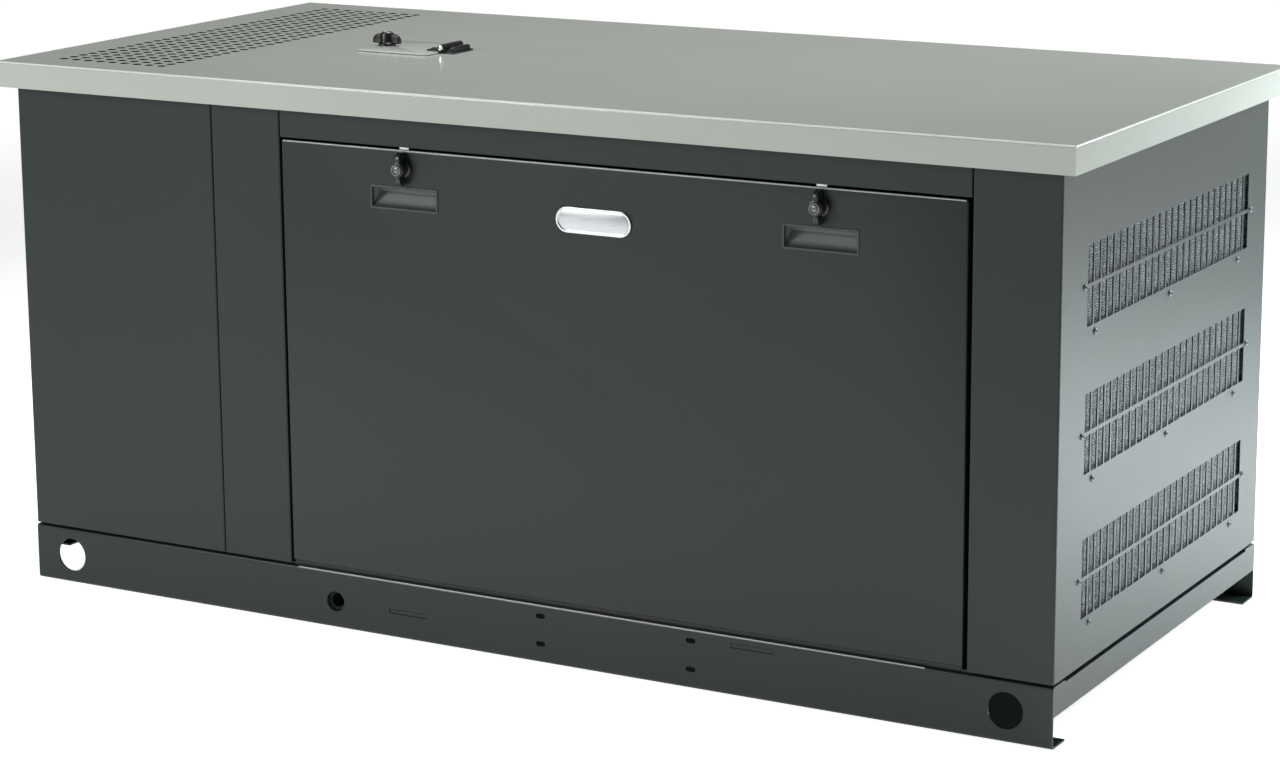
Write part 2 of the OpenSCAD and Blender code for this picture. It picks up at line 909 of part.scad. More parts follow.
module engine_block() {
    side = 130;
    foot_w = 50;
    wall = 14;
    bore_r = 42;
    color(cast_grey) difference() {
        union() {
            slab([block_x0, -side, 240], [block_x1, side, block_top - 60]);
            slab([block_x0, -side + 30, 240], [block_x1, side - 30, block_top]);
            bar_x(46, block_x0 - 42, block_x0, 0, fan_z);
            slab([block_x0, -46, block_top - 20], [block_x0 + 8, 46, fan_z + 40]);
            for (s = [0, 1]) mirror([0, s, 0]) {
                slab([engine_x - foot_w / 2, side - 10, foot_z],
                     [engine_x + foot_w / 2, mount_y + 30, foot_z + 10]);
                for (x = [engine_x - foot_w / 2, engine_x + foot_w / 2 - 8])
                    slab([x, side - 10, foot_z + 10], [x + 8, side + 60, 330]);
                slab([engine_x - foot_w / 2, side - 10, foot_z],
                     [engine_x + foot_w / 2, side, 330]);
            }
        }
        bar_x(crank_r + fit_gap, block_x0 - 1, block_x1 + 1, 0, crank_z);
        bar_x(pump_shaft_r + fit_gap, block_x0 - 50, block_x0 - 2, 0, fan_z);
        slab([block_x0 + wall, -side + wall, 240 + wall],
             [block_x1 - wall, side - wall, block_top - 60 - wall]);
        for (i = [0 : 3])
            bar_z(bore_r, block_top - 61 - wall, block_top - wall, -230 + i * 105, 0);
    }
}

// Pressed sump, open at the top, with its flange and drain plug
module oil_pan() {
    wall = 3;
    color(black_paint) difference() {
        union() {
            slab([block_x0 + 20, -110, 200], [block_x1 - 20, 110, 232]);
            slab([block_x0 + 10, -118, 232], [block_x1 - 10, 118, 240]);
            slab([block_x0 + 130, -85, pan_bottom], [block_x1 - 60, 85, 200]);
            bar_y(12, -93, -85, 0, 160);
        }
        slab([block_x0 + 20 + wall, -110 + wall, 200 + wall],
             [block_x1 - 20 - wall, 110 - wall, 241]);
        slab([block_x0 + 130 + wall, -85 + wall, pan_bottom + wall],
             [block_x1 - 60 - wall, 85 - wall, 201 + wall]);
    }
}

module cylinder_head() {
    color(cast_grey) {
        slab([block_x0 + 8, -95, block_top], [block_x1 - 10, 95, head_top]);
        for (i = [0 : 3])
            bar_y(20, 95, 120, -230 + i * 105, 490);
    }
}

// Pressed cover, open below, with the oil filler cap on top
module valve_cover() {
    wall = 4;
    color(black_paint) difference() {
        union() {
            slab([block_x0 + 20, -70, head_top], [block_x1 - 20, 70, head_top + 12]);
            translate([block_x0 + 28, 0, head_top + 12]) rotate([90, 0, 90])
                linear_extrude(block_x1 - block_x0 - 56) intersection() {
                    translate([0, 20]) round_rect(124, 88, 22);
                    translate([-80, 0]) square([160, 100]);
                }
            bar_z(20, head_top + 60, head_top + 88, 90, 0);
        }
        slab([block_x0 + 28 + wall, -62 + wall, head_top - 1],
             [block_x1 - 28 - wall, 62 - wall, head_top + 50]);
    }
}

// Intake log on the rear of the head, its elbow and the filter canister above
module air_cleaner() {
    log_y = 150;
    can_z = 735;
    color(black_paint) {
        bar_x(30, -260, 120, log_y, 490);
        pipe_run([[-70, log_y, 490], [-70, log_y, 620], [-70, log_y, can_z]], 27);
        bar_x(72, -190, 110, log_y, can_z);
        bar_x(76, 40, 60, log_y, can_z);
        bar_x(30, 110, 150, log_y, can_z);
    }
}

module exhaust_manifold() {
    log_y = -150;
    color([0.40, 0.36, 0.33]) {
        bar_x(27, -255, 120, log_y, 500);
        for (i = [0 : 3]) bar_y(19, log_y, -95, -230 + i * 105, 500);
        pipe_run([[-200, log_y, 500], [-200, exhaust_y, 500], [-200, exhaust_y, exhaust_z],
                  [-300, exhaust_y, exhaust_z]], exhaust_r);
        bar_x(42, -308, -300, exhaust_y, exhaust_z);
    }
}

// Silencer in the air outlet chamber, with its inlet and tail pipes
module muffler() {
    half = 270;
    wall = 3;
    tail_y = 100;
    tail_z = 840;
    color(bright_zinc) difference() {
        union() {
            bar_x(42, -316, -308, exhaust_y, exhaust_z);
            pipe_run([[-316, exhaust_y, exhaust_z], [muffler_x, exhaust_y, exhaust_z],
                      [muffler_x, exhaust_y, muffler_z], [muffler_x, -half, muffler_z]],
                     exhaust_r);
            bar_y(muffler_r, -half, half, muffler_x, muffler_z);
            for (s = [-1, 1])
                bar_y(muffler_r + 4, s * (half - 12) - 4, s * (half - 12) + 4,
                      muffler_x, muffler_z);
            bar_z(exhaust_r, muffler_z + 90, tail_z, muffler_x, tail_y);
            for (y = [-160, 160])
                slab([muffler_x - 30, y - 15, pan_top], [muffler_x + 30, y + 15, muffler_z - 80]);
        }
        bar_y(muffler_r - wall, -half + wall, half - wall, muffler_x, muffler_z);
        bar_z(exhaust_r - wall, muffler_z, tail_z + 1, muffler_x, tail_y);
    }
}

// ---- Alternator and shaft ---------------------------------------------------

module flywheel_housing() {
    color(cast_grey) difference() {
        union() {
            bar_x(bell_r, block_x1, bell_x1, 0, crank_z);
            bar_x(bell_r + 12, bell_x1 - 10, bell_x1, 0, crank_z);
        }
        bar_x(bell_r - 20, block_x1 + 6, bell_x1 + 1, 0, crank_z);
        bar_x(crank_r + 6, block_x1 - 1, bell_x1, 0, crank_z);
    }
}

// Crankshaft with its nose in the pulley and the flywheel on its other end
module crankshaft() {
    color(bright_zinc) {
        bar_x(20, pulley_x0, pulley_x1, 0, crank_z);
        bar_x(crank_r, pulley_x1, 186, 0, crank_z);
        bar_x(150, 186, 214, 0, crank_z);
    }
}

module alternator_rotor() {
    color([0.55, 0.35, 0.2]) {
        bar_x(60, 214, 230, 0, crank_z);
        bar_x(28, 230, frame_x1 + 20, 0, crank_z);
        bar_x(rotor_r, 340, 600, 0, crank_z);
    }
}

module alternator() {
    foot_w = 60;
    color(body_green) difference() {
        union() {
            bar_x(frame_r, bell_x1, frame_x1, 0, crank_z);
            bar_x(frame_r + 12, bell_x1, bell_x1 + 10, 0, crank_z);
            bar_x(70, frame_x1, frame_x1 + 12, 0, crank_z);
            slab([380, -90, crank_z + 150], [600, 90, crank_z + 225]);
            for (s = [0, 1]) mirror([0, s, 0]) {
                slab([alternator_x - foot_w / 2, 80, foot_z],
                     [alternator_x + foot_w / 2, alternator_mount_y + 30, foot_z + 10]);
                slab([alternator_x - foot_w / 2, 80, foot_z],
                     [alternator_x + foot_w / 2, 120, 220]);
            }
        }
        bar_x(frame_bore, bell_x1 - 1, frame_x1 - 12, 0, crank_z);
        bar_x(28 + fit_gap, frame_x1 - 20, frame_x1 + 20, 0, crank_z);
        for (i = [0 : 11])
            translate([0, 0, crank_z]) rotate([i * 30, 0, 0])
                bar_x(12, frame_x1 - 20, frame_x1 + 1, 95, 0);
    }
}

module vibration_mounts() {
    spots = [[engine_x, mount_y], [alternator_x, alternator_mount_y]];
    color(rubber_black)
        for (p = spots, s = [-1, 1]) bar_z(29, pan_top, foot_z, p[0], s * p[1]);
}

// ---- Fuel, controls and battery ---------------------------------------------

// Gas regulator with the pipe that ends in a socket behind the rail hole
module fuel_regulator() {
    pipe_r = 13;
    body_z = 210;
    mouth_y = front_y + 8;
    color(black_paint) {
        bar_z(45, body_z - 18, body_z - 2, fuel_x + 90, fuel_y);
        bar_z(38, body_z - 40, body_z + 25, fuel_x + 90, fuel_y);
        pipe_run([[fuel_x + 60, fuel_y, body_z], [fuel_x, fuel_y, body_z],
                  [fuel_x, fuel_y, fuel_z]], pipe_r);
        difference() {
            union() {
                translate([fuel_x, fuel_y, fuel_z]) sphere(r = pipe_r);
                bar_y(pipe_r, mouth_y, fuel_y, fuel_x, fuel_z);
                bar_y(16, mouth_y, mouth_y + 40, fuel_x, fuel_z);
            }
            bar_y(12, mouth_y - 1, mouth_y + 40, fuel_x, fuel_z);
        }
        slab([fuel_x + 75, fuel_y + 30, pan_top], [fuel_x + 105, fuel_y + 36, body_z]);
    }
}

module control_box() {
    t = 2;
    color([0.2, 0.2, 0.21]) {
        difference() {
            slab([box_x0, box_y0, box_z0], [box_x1, box_y1, box_z1]);
            slab([box_x0 + t, box_y0 + face_t, box_z0 + t], [box_x1 - t, box_y1 - t, box_z1 - t]);
            bar_y(start_r, box_y0 - 1, box_y0 + face_t + 1, start_x, button_z);
            bar_y(stop_r, box_y0 - 1, box_y0 + face_t + 1, stop_x, button_z);
        }
        for (x = [box_x0, box_x1 - 6])
            slab([x, -262, pan_top], [x + 6, -206, box_z0]);
    }
}

// Round push button that starts the engine by hand
module start_button() {
    color([0.15, 0.45, 0.2]) bar_y(start_r - gap, box_y0 - 6, box_y0 + 7, start_x, button_z);
}

// Red mushroom stop button
module stop_button() {
    color([0.7, 0.08, 0.06]) {
        bar_y(20, box_y0 - 26, box_y0 - 14, stop_x, button_z);
        bar_y(stop_r - gap, box_y0 - 14, box_y0 + 7, stop_x, button_z);
    }
}

module main_breaker() {
    color([0.12, 0.12, 0.13]) difference() {
        slab([breaker_x - 40, box_y0 - 14, breaker_z - 80], [breaker_x + 40, box_y0, breaker_z + 80]);
        slab([breaker_x - 12, box_y0 - 15, breaker_z - 26], [breaker_x + 12, box_y0 - 2, breaker_z + 26]);
    }
}

// Toggle that swings up and down in the breaker's window
module breaker_lever() {
    color([0.05, 0.05, 0.05])
        translate([breaker_x, box_y0 - 8, breaker_z]) {
            rotate([0, 90, 0]) cylinder(r = 5, h = 20, center = true);
            rotate([-28, 0, 0]) translate([-8, -22, -4]) cube([16, 22, 8]);
        }
}

module battery() {
    x0 = 560;
    y0 = -395;
    color([0.1, 0.1, 0.1]) {
        slab([x0, y0, pan_top], [x0 + 208, y0 + 173, pan_top + 185]);
        slab([x0 - 2, y0 - 2, pan_top + 185], [x0 + 210, y0 + 175, pan_top + 197]);
        for (x = [x0 + 25, x0 + 183]) bar_z(9, pan_top + 197, pan_top + 214, x, y0 + 30);
    }
}

// ---- Drawing ----------------------------------------------------------------
front_base_rail();
rear_base_rail();
end_cross_beams();
engine_cross_member();
alternator_cross_member();
floor_pan();
front_left_panel();
front_left_post();
front_header();
front_right_post();
left_end_panel();
right_end_panel();
rear_corner_panels();
rear_access_panel();
intake_screens();
panel_screws();
strike_tabs();
door_seal();
roof_panel();
roof_hatch();
hatch_hinge();
hatch_hinge_leaf();
hatch_wing_lock();
hatch_lock_core();
front_door();
door_grips();
badge_plate();
left_wing_lock();
left_lock_core();
right_wing_lock();
right_lock_core();
radiator_bulkhead();
radiator_core();
radiator_tanks();
radiator_cap();
fan_shroud();
cooling_fan();
fan_pulley();
crank_pulley();
drive_belt();
coolant_hoses();
engine_block();
oil_pan();
cylinder_head();
valve_cover();
air_cleaner();
exhaust_manifold();
muffler();
flywheel_housing();
crankshaft();
alternator_rotor();
alternator();
vibration_mounts();
fuel_regulator();
control_box();
start_button();
stop_button();
main_breaker();
breaker_lever();
battery();
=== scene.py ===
# %% [markdown]
# # A home standby generator
# The object is a long sheet-metal enclosure on a folded base frame. The left end blows warm air
# out through a field of holes in the roof, and the right end breathes in through slotted openings.
# The frame that is loaded first holds the true sizes of every sheet, rail and engine part. This
# lesson gives those parts their finishes, and models by hand what needs softer or finer shapes.

import json
import math

import bmesh
import bpy
from mathutils import Matrix, Vector


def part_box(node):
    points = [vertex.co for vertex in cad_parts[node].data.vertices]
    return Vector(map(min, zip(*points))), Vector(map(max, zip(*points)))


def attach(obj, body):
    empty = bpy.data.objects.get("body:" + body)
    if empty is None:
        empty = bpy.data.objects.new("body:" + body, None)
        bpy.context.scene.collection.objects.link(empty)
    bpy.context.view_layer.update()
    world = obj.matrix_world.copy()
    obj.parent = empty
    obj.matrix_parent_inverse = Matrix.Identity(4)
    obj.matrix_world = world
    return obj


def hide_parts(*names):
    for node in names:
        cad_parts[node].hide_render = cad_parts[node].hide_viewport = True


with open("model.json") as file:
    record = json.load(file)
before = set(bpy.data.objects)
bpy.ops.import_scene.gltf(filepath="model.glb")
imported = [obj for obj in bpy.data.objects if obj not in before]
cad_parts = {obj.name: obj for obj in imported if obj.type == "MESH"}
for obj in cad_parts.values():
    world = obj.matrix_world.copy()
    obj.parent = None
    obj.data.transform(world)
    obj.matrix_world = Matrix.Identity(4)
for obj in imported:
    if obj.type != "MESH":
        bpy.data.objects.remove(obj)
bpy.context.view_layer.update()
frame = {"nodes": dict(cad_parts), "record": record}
nodes = frame["nodes"]

# %% [markdown]
# ## The camera
# The machine is seen from its front right corner, from a little above the roof. A long lens keeps
# the uprights nearly parallel. The camera's axes are built by hand from an azimuth, an elevation
# and a small roll, because that keeps the three numbers readable.

# %% Place the camera
CAMERA_AT = Vector((2.718, -4.779, 1.654))
AZIMUTH, ELEVATION, ROLL = (math.radians(a) for a in (29.552, 12.35, -0.397))
LENS_MM, SENSOR_MM, SHIFT_UP = 94.6, 36.0, -0.04

back = Vector((math.sin(AZIMUTH) * math.cos(ELEVATION),
               -math.cos(AZIMUTH) * math.cos(ELEVATION), math.sin(ELEVATION)))
level = Vector((math.cos(AZIMUTH), math.sin(AZIMUTH), 0.0))
above = back.cross(level)
right = level * math.cos(ROLL) + above * math.sin(ROLL)
up = above * math.cos(ROLL) - level * math.sin(ROLL)

camera_data = bpy.data.cameras.new("camera")
camera_data.lens, camera_data.sensor_width = LENS_MM, SENSOR_MM
camera_data.shift_y = SHIFT_UP
camera_data.clip_end = 60
camera = bpy.data.objects.new("camera", camera_data)
bpy.context.scene.collection.objects.link(camera)
camera.matrix_world = Matrix((
    (right.x, up.x, back.x, CAMERA_AT.x),
    (right.y, up.y, back.y, CAMERA_AT.y),
    (right.z, up.z, back.z, CAMERA_AT.z),
    (0, 0, 0, 1)))
bpy.context.scene.camera = camera
bpy.context.scene.view_settings.view_transform = "Standard"
print("camera", [round(v, 3) for v in CAMERA_AT], "lens", LENS_MM, "mm")

# %% [markdown]
# ## The studio
# A cool lamp washes the floor past the intake end, and the end panel mirrors that bright floor. A
# lamp on the left brightens the long front, and a wide one overhead brightens the roof. None of
# them is seen by the camera itself.

# %% Three soft lamps
def add_area_lamp(name, at, towards, size, power):
    """A square soft lamp that looks at a point."""
    data = bpy.data.lights.new(name, "AREA")
    data.shape, data.size, data.energy = "SQUARE", size, power
    lamp = bpy.data.objects.new(name, data)
    bpy.context.scene.collection.objects.link(lamp)
    lamp.location = at
    lamp.rotation_euler = (Vector(towards) - Vector(at)).to_track_quat("-Z", "Y").to_euler()
    lamp.visible_camera = False
    return lamp


floor_wash = add_area_lamp("floor_wash", (2.0, 1.3, 1.25), (2.0, 1.3, 0.0), 1.1, 98)
floor_wash.data.color = (0.88, 0.98, 1.0)
add_area_lamp("left_lamp", (-2.3, -3.8, 2.4), (-0.2, -0.4, 0.85), 1.4, 112)
add_area_lamp("roof_lamp", (0.2, 0.6, 3.6), (0.0, 0.2, 0.9), 2.4, 130)

# %% [markdown]
# ## The sky
# The machine stands in a white room with a darker ceiling, because the roof lies almost level with
# the eye and mirrors whatever hangs over it. So the sky fades from white at the horizon to grey
# overhead. Its strength follows the height of the direction alone, and one map does that.

# %% Sky that fades upwards
world = bpy.data.worlds.new("studio")
bpy.context.scene.world = world
world.use_nodes = True
sky = world.node_tree
SKY_LOW, SKY_HIGH = 1.25, 0.44
direction = sky.nodes.new("ShaderNodeTexCoord")
split = sky.nodes.new("ShaderNodeSeparateXYZ")
fade = sky.nodes.new("ShaderNodeMapRange")
for key, value in {"From Min": 0.05, "From Max": 0.65, "To Min": SKY_LOW, "To Max": SKY_HIGH}.items():
    fade.inputs[key].default_value = value
sky.links.new(direction.outputs["Generated"], split.inputs[0])
sky.links.new(split.outputs["Z"], fade.inputs["Value"])
sky.links.new(fade.outputs[0], sky.nodes["Background"].inputs["Strength"])
print("sky from", SKY_LOW, "at the horizon to", SKY_HIGH, "overhead")

# %% [markdown]
# ## The floor
# A wide plane carries the machine. A near-black sheet of painted shade lies under the base, so that
# the holes in the rails look black. Both belong to the stage and not to the machine.

# %% Floor and a sheet of painted shade
bpy.ops.object.select_all(action="DESELECT")
bpy.ops.mesh.primitive_plane_add(size=60, location=(0, 0, -0.001))
floor = bpy.context.object
floor.name = "floor"

SHADE_SHEET_INSET, SHADE_SHEET_SHIFT = 0.03, 0.15
bpy.ops.object.select_all(action="DESELECT")
bpy.ops.mesh.primitive_plane_add(size=1, location=(SHADE_SHEET_SHIFT, 0, -0.0005))
mat = bpy.context.object
mat.name = "shade_mat"
rail_low, rail_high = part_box("front_base_rail")
mat.scale = (rail_high[0] - rail_low[0] - 4 * SHADE_SHEET_INSET - 2 * SHADE_SHEET_SHIFT,
             -2 * rail_low[1] - 2 * SHADE_SHEET_INSET, 1)
print("mat", [round(side, 3) for side in mat.scale[:2]], "m")

# %% [markdown]
# ## Writing materials as sums
# A material here is a short piece of arithmetic on noise. The class `Wave` wraps one socket and
# turns the signs + - * into Math nodes, also when a plain number stands on the left.

# %% Sums on sockets
class Wave:
    """A number that changes over a surface, held by one node socket."""

    def __init__(self, finish, socket):
        self.finish, self.socket = finish, socket

    def _math(self, operation, first, second):
        made = self.finish.node("ShaderNodeMath", {"operation": operation}, {0: first, 1: second})
        return Wave(self.finish, made.outputs[0])

    def __add__(self, other):
        return self._math("ADD", self, other)

    def __sub__(self, other):
        return self._math("SUBTRACT", self, other)

    def __mul__(self, other):
        return self._math("MULTIPLY", self, other)

    def __rsub__(self, other):
        return self._math("SUBTRACT", other, self)

    __radd__, __rmul__ = __add__, __mul__

    def highest(self, other):
        return self._math("MAXIMUM", self, other)

    def folded(self, period):
        """The distance into a repeating step, from 0 to 1."""
        return self._math("FRACT", self * (1.0 / period), 0.0)

    def size(self):
        return self._math("ABSOLUTE", self, 0.0)

    def eased(self, low, high):
        """0 below low, 1 above high, straight between."""
        made = self.finish.node("ShaderNodeMapRange", {"clamp": True},
                                {"Value": self, "From Min": low, "From Max": high})
        return Wave(self.finish, made.outputs[0])


print("a wave can be", [name for name in vars(Wave) if not name.startswith("_")])


# %% [markdown]
# ## One finish
# The class `Finish` owns the node tree of one material. Its method `node` adds any node and feeds
# its sockets, and the other methods are short names for the few nodes that a finish needs: noise,
# the three axes, a blend of two colours, gloss and relief.

# %% Material with noise, colour, gloss and relief
class Finish:
    """One node material with a Principled surface."""

    def __init__(self, name, metallic=0.0, coat=0.0, specular=0.5):
        self.material = bpy.data.materials.new(name)
        self.material.use_nodes = True
        self.tree = self.material.node_tree
        self.surface = self.tree.nodes["Principled BSDF"]
        self.surface.inputs["Metallic"].default_value = metallic
        self.surface.inputs["Coat Weight"].default_value = coat
        self.surface.inputs["Specular IOR Level"].default_value = specular
        self.place = self.node("ShaderNodeTexCoord", {}, {}).outputs["Object"]

    def node(self, kind, settings, values):
        made = self.tree.nodes.new(kind)
        for key, value in settings.items():
            setattr(made, key, value)
        for key, value in values.items():
            self.feed(made.inputs[key], value)
        return made

    def feed(self, socket, value):
        if isinstance(value, Wave):
            value = value.socket
        if isinstance(value, bpy.types.NodeSocket):
            self.tree.links.new(value, socket)
        else:
            socket.default_value = value

    def noise(self, scale, detail=2.0, stretch=(1, 1, 1)):
        """Cloudy noise from 0 to 1, with a scale in grains per metre."""
        place = self.place
        if stretch != (1, 1, 1):
            place = self.node("ShaderNodeMapping", {}, {"Vector": place, "Scale": stretch}).outputs[0]
        made = self.node("ShaderNodeTexNoise", {},
                         {"Vector": place, "Scale": scale, "Detail": detail})
        return Wave(self, made.outputs["Fac"])

    def axes(self):
        """The three places along X, Y and Z, in metres."""
        split = self.node("ShaderNodeSeparateXYZ", {}, {0: self.place})
        return [Wave(self, socket) for socket in split.outputs]

    def mixed(self, first, second, share):
        """Blends two colours, each a triple or a socket. Sockets 6, 7 and 2 are the colour ones."""
        first, second = ((*tint, 1) if isinstance(tint, tuple) else tint for tint in (first, second))
        made = self.node("ShaderNodeMix", {"data_type": "RGBA"},
                         {"Factor": share, 6: first, 7: second})
        return made.outputs[2]

    def colour(self, first, second, share):
        self.feed(self.surface.inputs["Base Color"], self.mixed(first, second, share))
        return self

    def roughness(self, value):
        self.feed(self.surface.inputs["Roughness"], value)
        return self

    def bump(self, height, depth):
        """Relief with its depth in metres."""
        made = self.node("ShaderNodeBump", {}, {"Height": height, "Distance": depth, "Strength": 1.0})
        self.feed(self.surface.inputs["Normal"], made.outputs[0])
        return self


print("a finish has", [name for name in vars(Finish) if not name.startswith("_")])


# %% [markdown]
# ## Powder coat
# Powder is baked onto the sheet, and it flows into a faint orange peel about two millimetres across.
# Over that lie a slow waviness of the sheet and a thin film of dust. One recipe makes the colour,
# the gloss and the relief from a few sorts of noise.

# %% Recipe for painted sheet
# Near black for the painted shade in the walls of holes.
HOLE_SHADE_COLOUR = (0.006, 0.007, 0.007)


def powder_coat(name, dark, light, gloss, peel_depth=0.00003, hole_shade=None):
    """Painted sheet. The last argument says where painted shade darkens the walls of holes, from 0 to
    1.
    """
    paint = Finish(name, specular=0.4)
    drift = paint.noise(1.6, 3.0)
    dust = paint.noise(9.0, 5.0).eased(0.45, 0.8)
    speck = paint.noise(900.0, 1.0)
    tint = paint.mixed(dark, light, drift.eased(0.3, 0.7) * 0.6 + speck * 0.25 + dust * 0.15)
    if hole_shade:
        # Painted shade: the walls of holes are darkened to near black where the mask is one.
        tint = paint.mixed(tint, HOLE_SHADE_COLOUR, hole_shade(paint))
    paint.feed(paint.surface.inputs["Base Color"], tint)
    paint.roughness((drift + speck + dust * 0.4) * gloss * 0.12 + gloss)
    peel = paint.noise(420.0, 2.0)
    ripple = paint.noise(7.0, 1.0)
    return paint.bump(peel * 0.5 + ripple * 6.0, peel_depth).material


body_paint = powder_coat("body_paint", (0.004, 0.012, 0.010), (0.007, 0.016, 0.014), 0.34)
print("body paint made")

# %% [markdown]
# ## Paler paints
# The roof is a pale grey-green with more gloss than the dark body. The walls of its air holes get
# painted shade, so that the holes look black, and one roof paint finds them: they lie below the top
# face, inside the field of holes. Round folds catch the light, so the edges of the door get a painted
# highlight, a paint far paler than the body's, and the edge of the roof gets one paler than the
# roof's.

# %% Paints of the roof and of the edges
ROOF_DARK, ROOF_LIGHT, ROOF_GLOSS = (0.364, 0.389, 0.354), (0.398, 0.423, 0.388), 0.14
FIELD_FROM, FIELD_TO, FIELD_SIDE, SOFT = 0.035, 0.36, 0.030, 0.002
roof_low, roof_high = (Vector(corner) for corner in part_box("roof_panel"))


def hole_shade_mask(paint):
    """Mask of the painted shade: one below the surface of the roof's air field, where the sheet is
    thin, and zero elsewhere.
    """
    x, y, z = paint.axes()
    below = (roof_high.z - z).eased(0.0001, 0.0003)
    before_end = (roof_low.x + FIELD_TO - x).eased(0.0, SOFT)
    along = before_end * (x - roof_low.x - FIELD_FROM).eased(0.0, SOFT)
    return below * along * (roof_high.y - FIELD_SIDE - y.size()).eased(0.0, SOFT)


roof_paint = powder_coat("roof_paint", ROOF_DARK, ROOF_LIGHT, ROOF_GLOSS, 0.00001)
pierced_paint = powder_coat("pierced_roof_paint", ROOF_DARK, ROOF_LIGHT, ROOF_GLOSS, 0.00001,
                            hole_shade_mask)
# Painted highlight: a paint far paler than the body, for the light on the round folds of the door and
# rail.
fold_highlight_paint = powder_coat("fold_highlight_paint", (0.300, 0.320, 0.315), (0.340, 0.360, 0.355), 0.16, 0.00001)
# Painted highlight: a paint paler than the roof, for the light on the roof's round folds.
roof_highlight_paint = powder_coat("roof_highlight_paint", (0.550, 0.570, 0.540), (0.600, 0.620, 0.590), 0.16, 0.00001)
print("paints", [paint.name for paint in (roof_paint, pierced_paint, fold_highlight_paint, roof_highlight_paint)])

# %% [markdown]
# ## Small metal and rubber
# Cast black hardware has a fine grain, plated steel is smooth and a little uneven, and rubber is
# dull. Raw castings show a sandy relief. Each finish is again noise for the colour, noise for the
# gloss and noise for the relief.

# %% Grained finishes
def grained(name, dark, light, gloss, grain, depth, metallic=0.0, coat=0.0):
    """A finish whose colour, gloss and relief share one grain size, in grains per metre."""
    finish = Finish(name, metallic=metallic, coat=coat)
    fine, slow = finish.noise(grain, 3.0), finish.noise(grain / 40.0, 2.0)
    finish.colour(dark, light, fine * 0.5 + slow * 0.5)
    finish.roughness(fine * 0.10 + slow * 0.08 + gloss)
    finish.bump(fine, depth)
    return finish.material


black_cast = grained("black_cast", (0.006, 0.006, 0.006), (0.014, 0.014, 0.014), 0.24, 900, 0.00004)
plated = grained("plated_steel", (0.62, 0.62, 0.61), (0.80, 0.80, 0.79), 0.12, 500, 0.00001, 1.0)
zinc = grained("zinc_plate", (0.50, 0.52, 0.52), (0.68, 0.69, 0.70), 0.26, 300, 0.00003, 1.0)
rubber = grained("black_rubber", (0.010, 0.010, 0.010), (0.022, 0.022, 0.022), 0.62, 700, 0.00006)
moulded = grained("moulded_black", (0.012, 0.012, 0.013), (0.022, 0.022, 0.023), 0.42, 1200, 0.00003)
iron = grained("painted_iron", (0.055, 0.060, 0.062), (0.085, 0.090, 0.092), 0.42, 260, 0.0004)
cast_alloy = grained("cast_alloy", (0.38, 0.39, 0.40), (0.52, 0.53, 0.54), 0.40, 240, 0.0004, 0.85)
turned_steel = grained("turned_steel", (0.36, 0.36, 0.37), (0.50, 0.50, 0.51), 0.22, 350, 0.00003,
                       1.0)
satin_black = grained("satin_black", (0.010, 0.010, 0.011), (0.020, 0.020, 0.021), 0.30, 500, 0.00005)
hot_iron = grained("hot_iron", (0.13, 0.075, 0.045), (0.24, 0.17, 0.12), 0.60, 200, 0.0004, 0.4)
can_steel = grained("aluminised_can", (0.42, 0.41, 0.39), (0.56, 0.55, 0.52), 0.38, 120, 0.0001, 0.9)
rotor_iron = grained("varnished_iron", (0.18, 0.09, 0.05), (0.28, 0.15, 0.08), 0.35, 180, 0.0002, 0.3)
frame_paint = grained("alternator_paint", (0.045, 0.055, 0.052), (0.065, 0.078, 0.072), 0.38, 260,
                      0.0002)
box_paint = grained("box_paint", (0.030, 0.031, 0.033), (0.045, 0.046, 0.048), 0.48, 1400, 0.0001)
green_cap = grained("green_cap", (0.015, 0.16, 0.04), (0.02, 0.22, 0.06), 0.22, 300, 0.00002)
red_cap = grained("red_cap", (0.42, 0.015, 0.01), (0.55, 0.02, 0.015), 0.22, 300, 0.00002)
badge_metal = grained("badge_metal", (0.60, 0.61, 0.62), (0.78, 0.79, 0.80), 0.20, 400, 0.00002, 1.0)
lock_face = grained("lock_face", (0.10, 0.105, 0.10), (0.26, 0.27, 0.26), 0.28, 300, 0.00001, 1.0)
dark_steel = grained("dark_steel", (0.10, 0.105, 0.105), (0.18, 0.185, 0.185), 0.30, 500, 0.00003,
                     0.9)
black_iron = grained("black_iron", (0.004, 0.004, 0.004), (0.010, 0.010, 0.009), 0.55, 300, 0.0002)
foam = grained("charcoal_foam", (0.012, 0.012, 0.013), (0.030, 0.030, 0.031), 0.85, 900, 0.0006)
yellow = grained("yellow_plastic", (0.60, 0.42, 0.02), (0.70, 0.50, 0.03), 0.35, 500, 0.00002)
amber = grained("amber_lens", (0.60, 0.22, 0.01), (0.75, 0.30, 0.02), 0.12, 300, 0.00001, coat=0.5)
dark_glass = grained("display_glass", (0.010, 0.014, 0.013), (0.018, 0.024, 0.022), 0.06, 200,
                     0.000005)
print("grained finishes made")

# %% [markdown]
# ## The woven screen and the radiator fins
# Behind the slots lies a fine wire cloth. From a few metres it reads as a speckled grey, so the
# pattern is two crossed sets of wires, a little disturbed by noise, with painted shade in the
# openings between them. The radiator's fins are close upright lines, crossed by flat tubes, with
# painted shade in the deep gaps between them.

# %% Screen cloth and fins
WIRE_PITCH, FIN_PITCH, TUBE_PITCH = 0.0042, 0.0025, 0.011


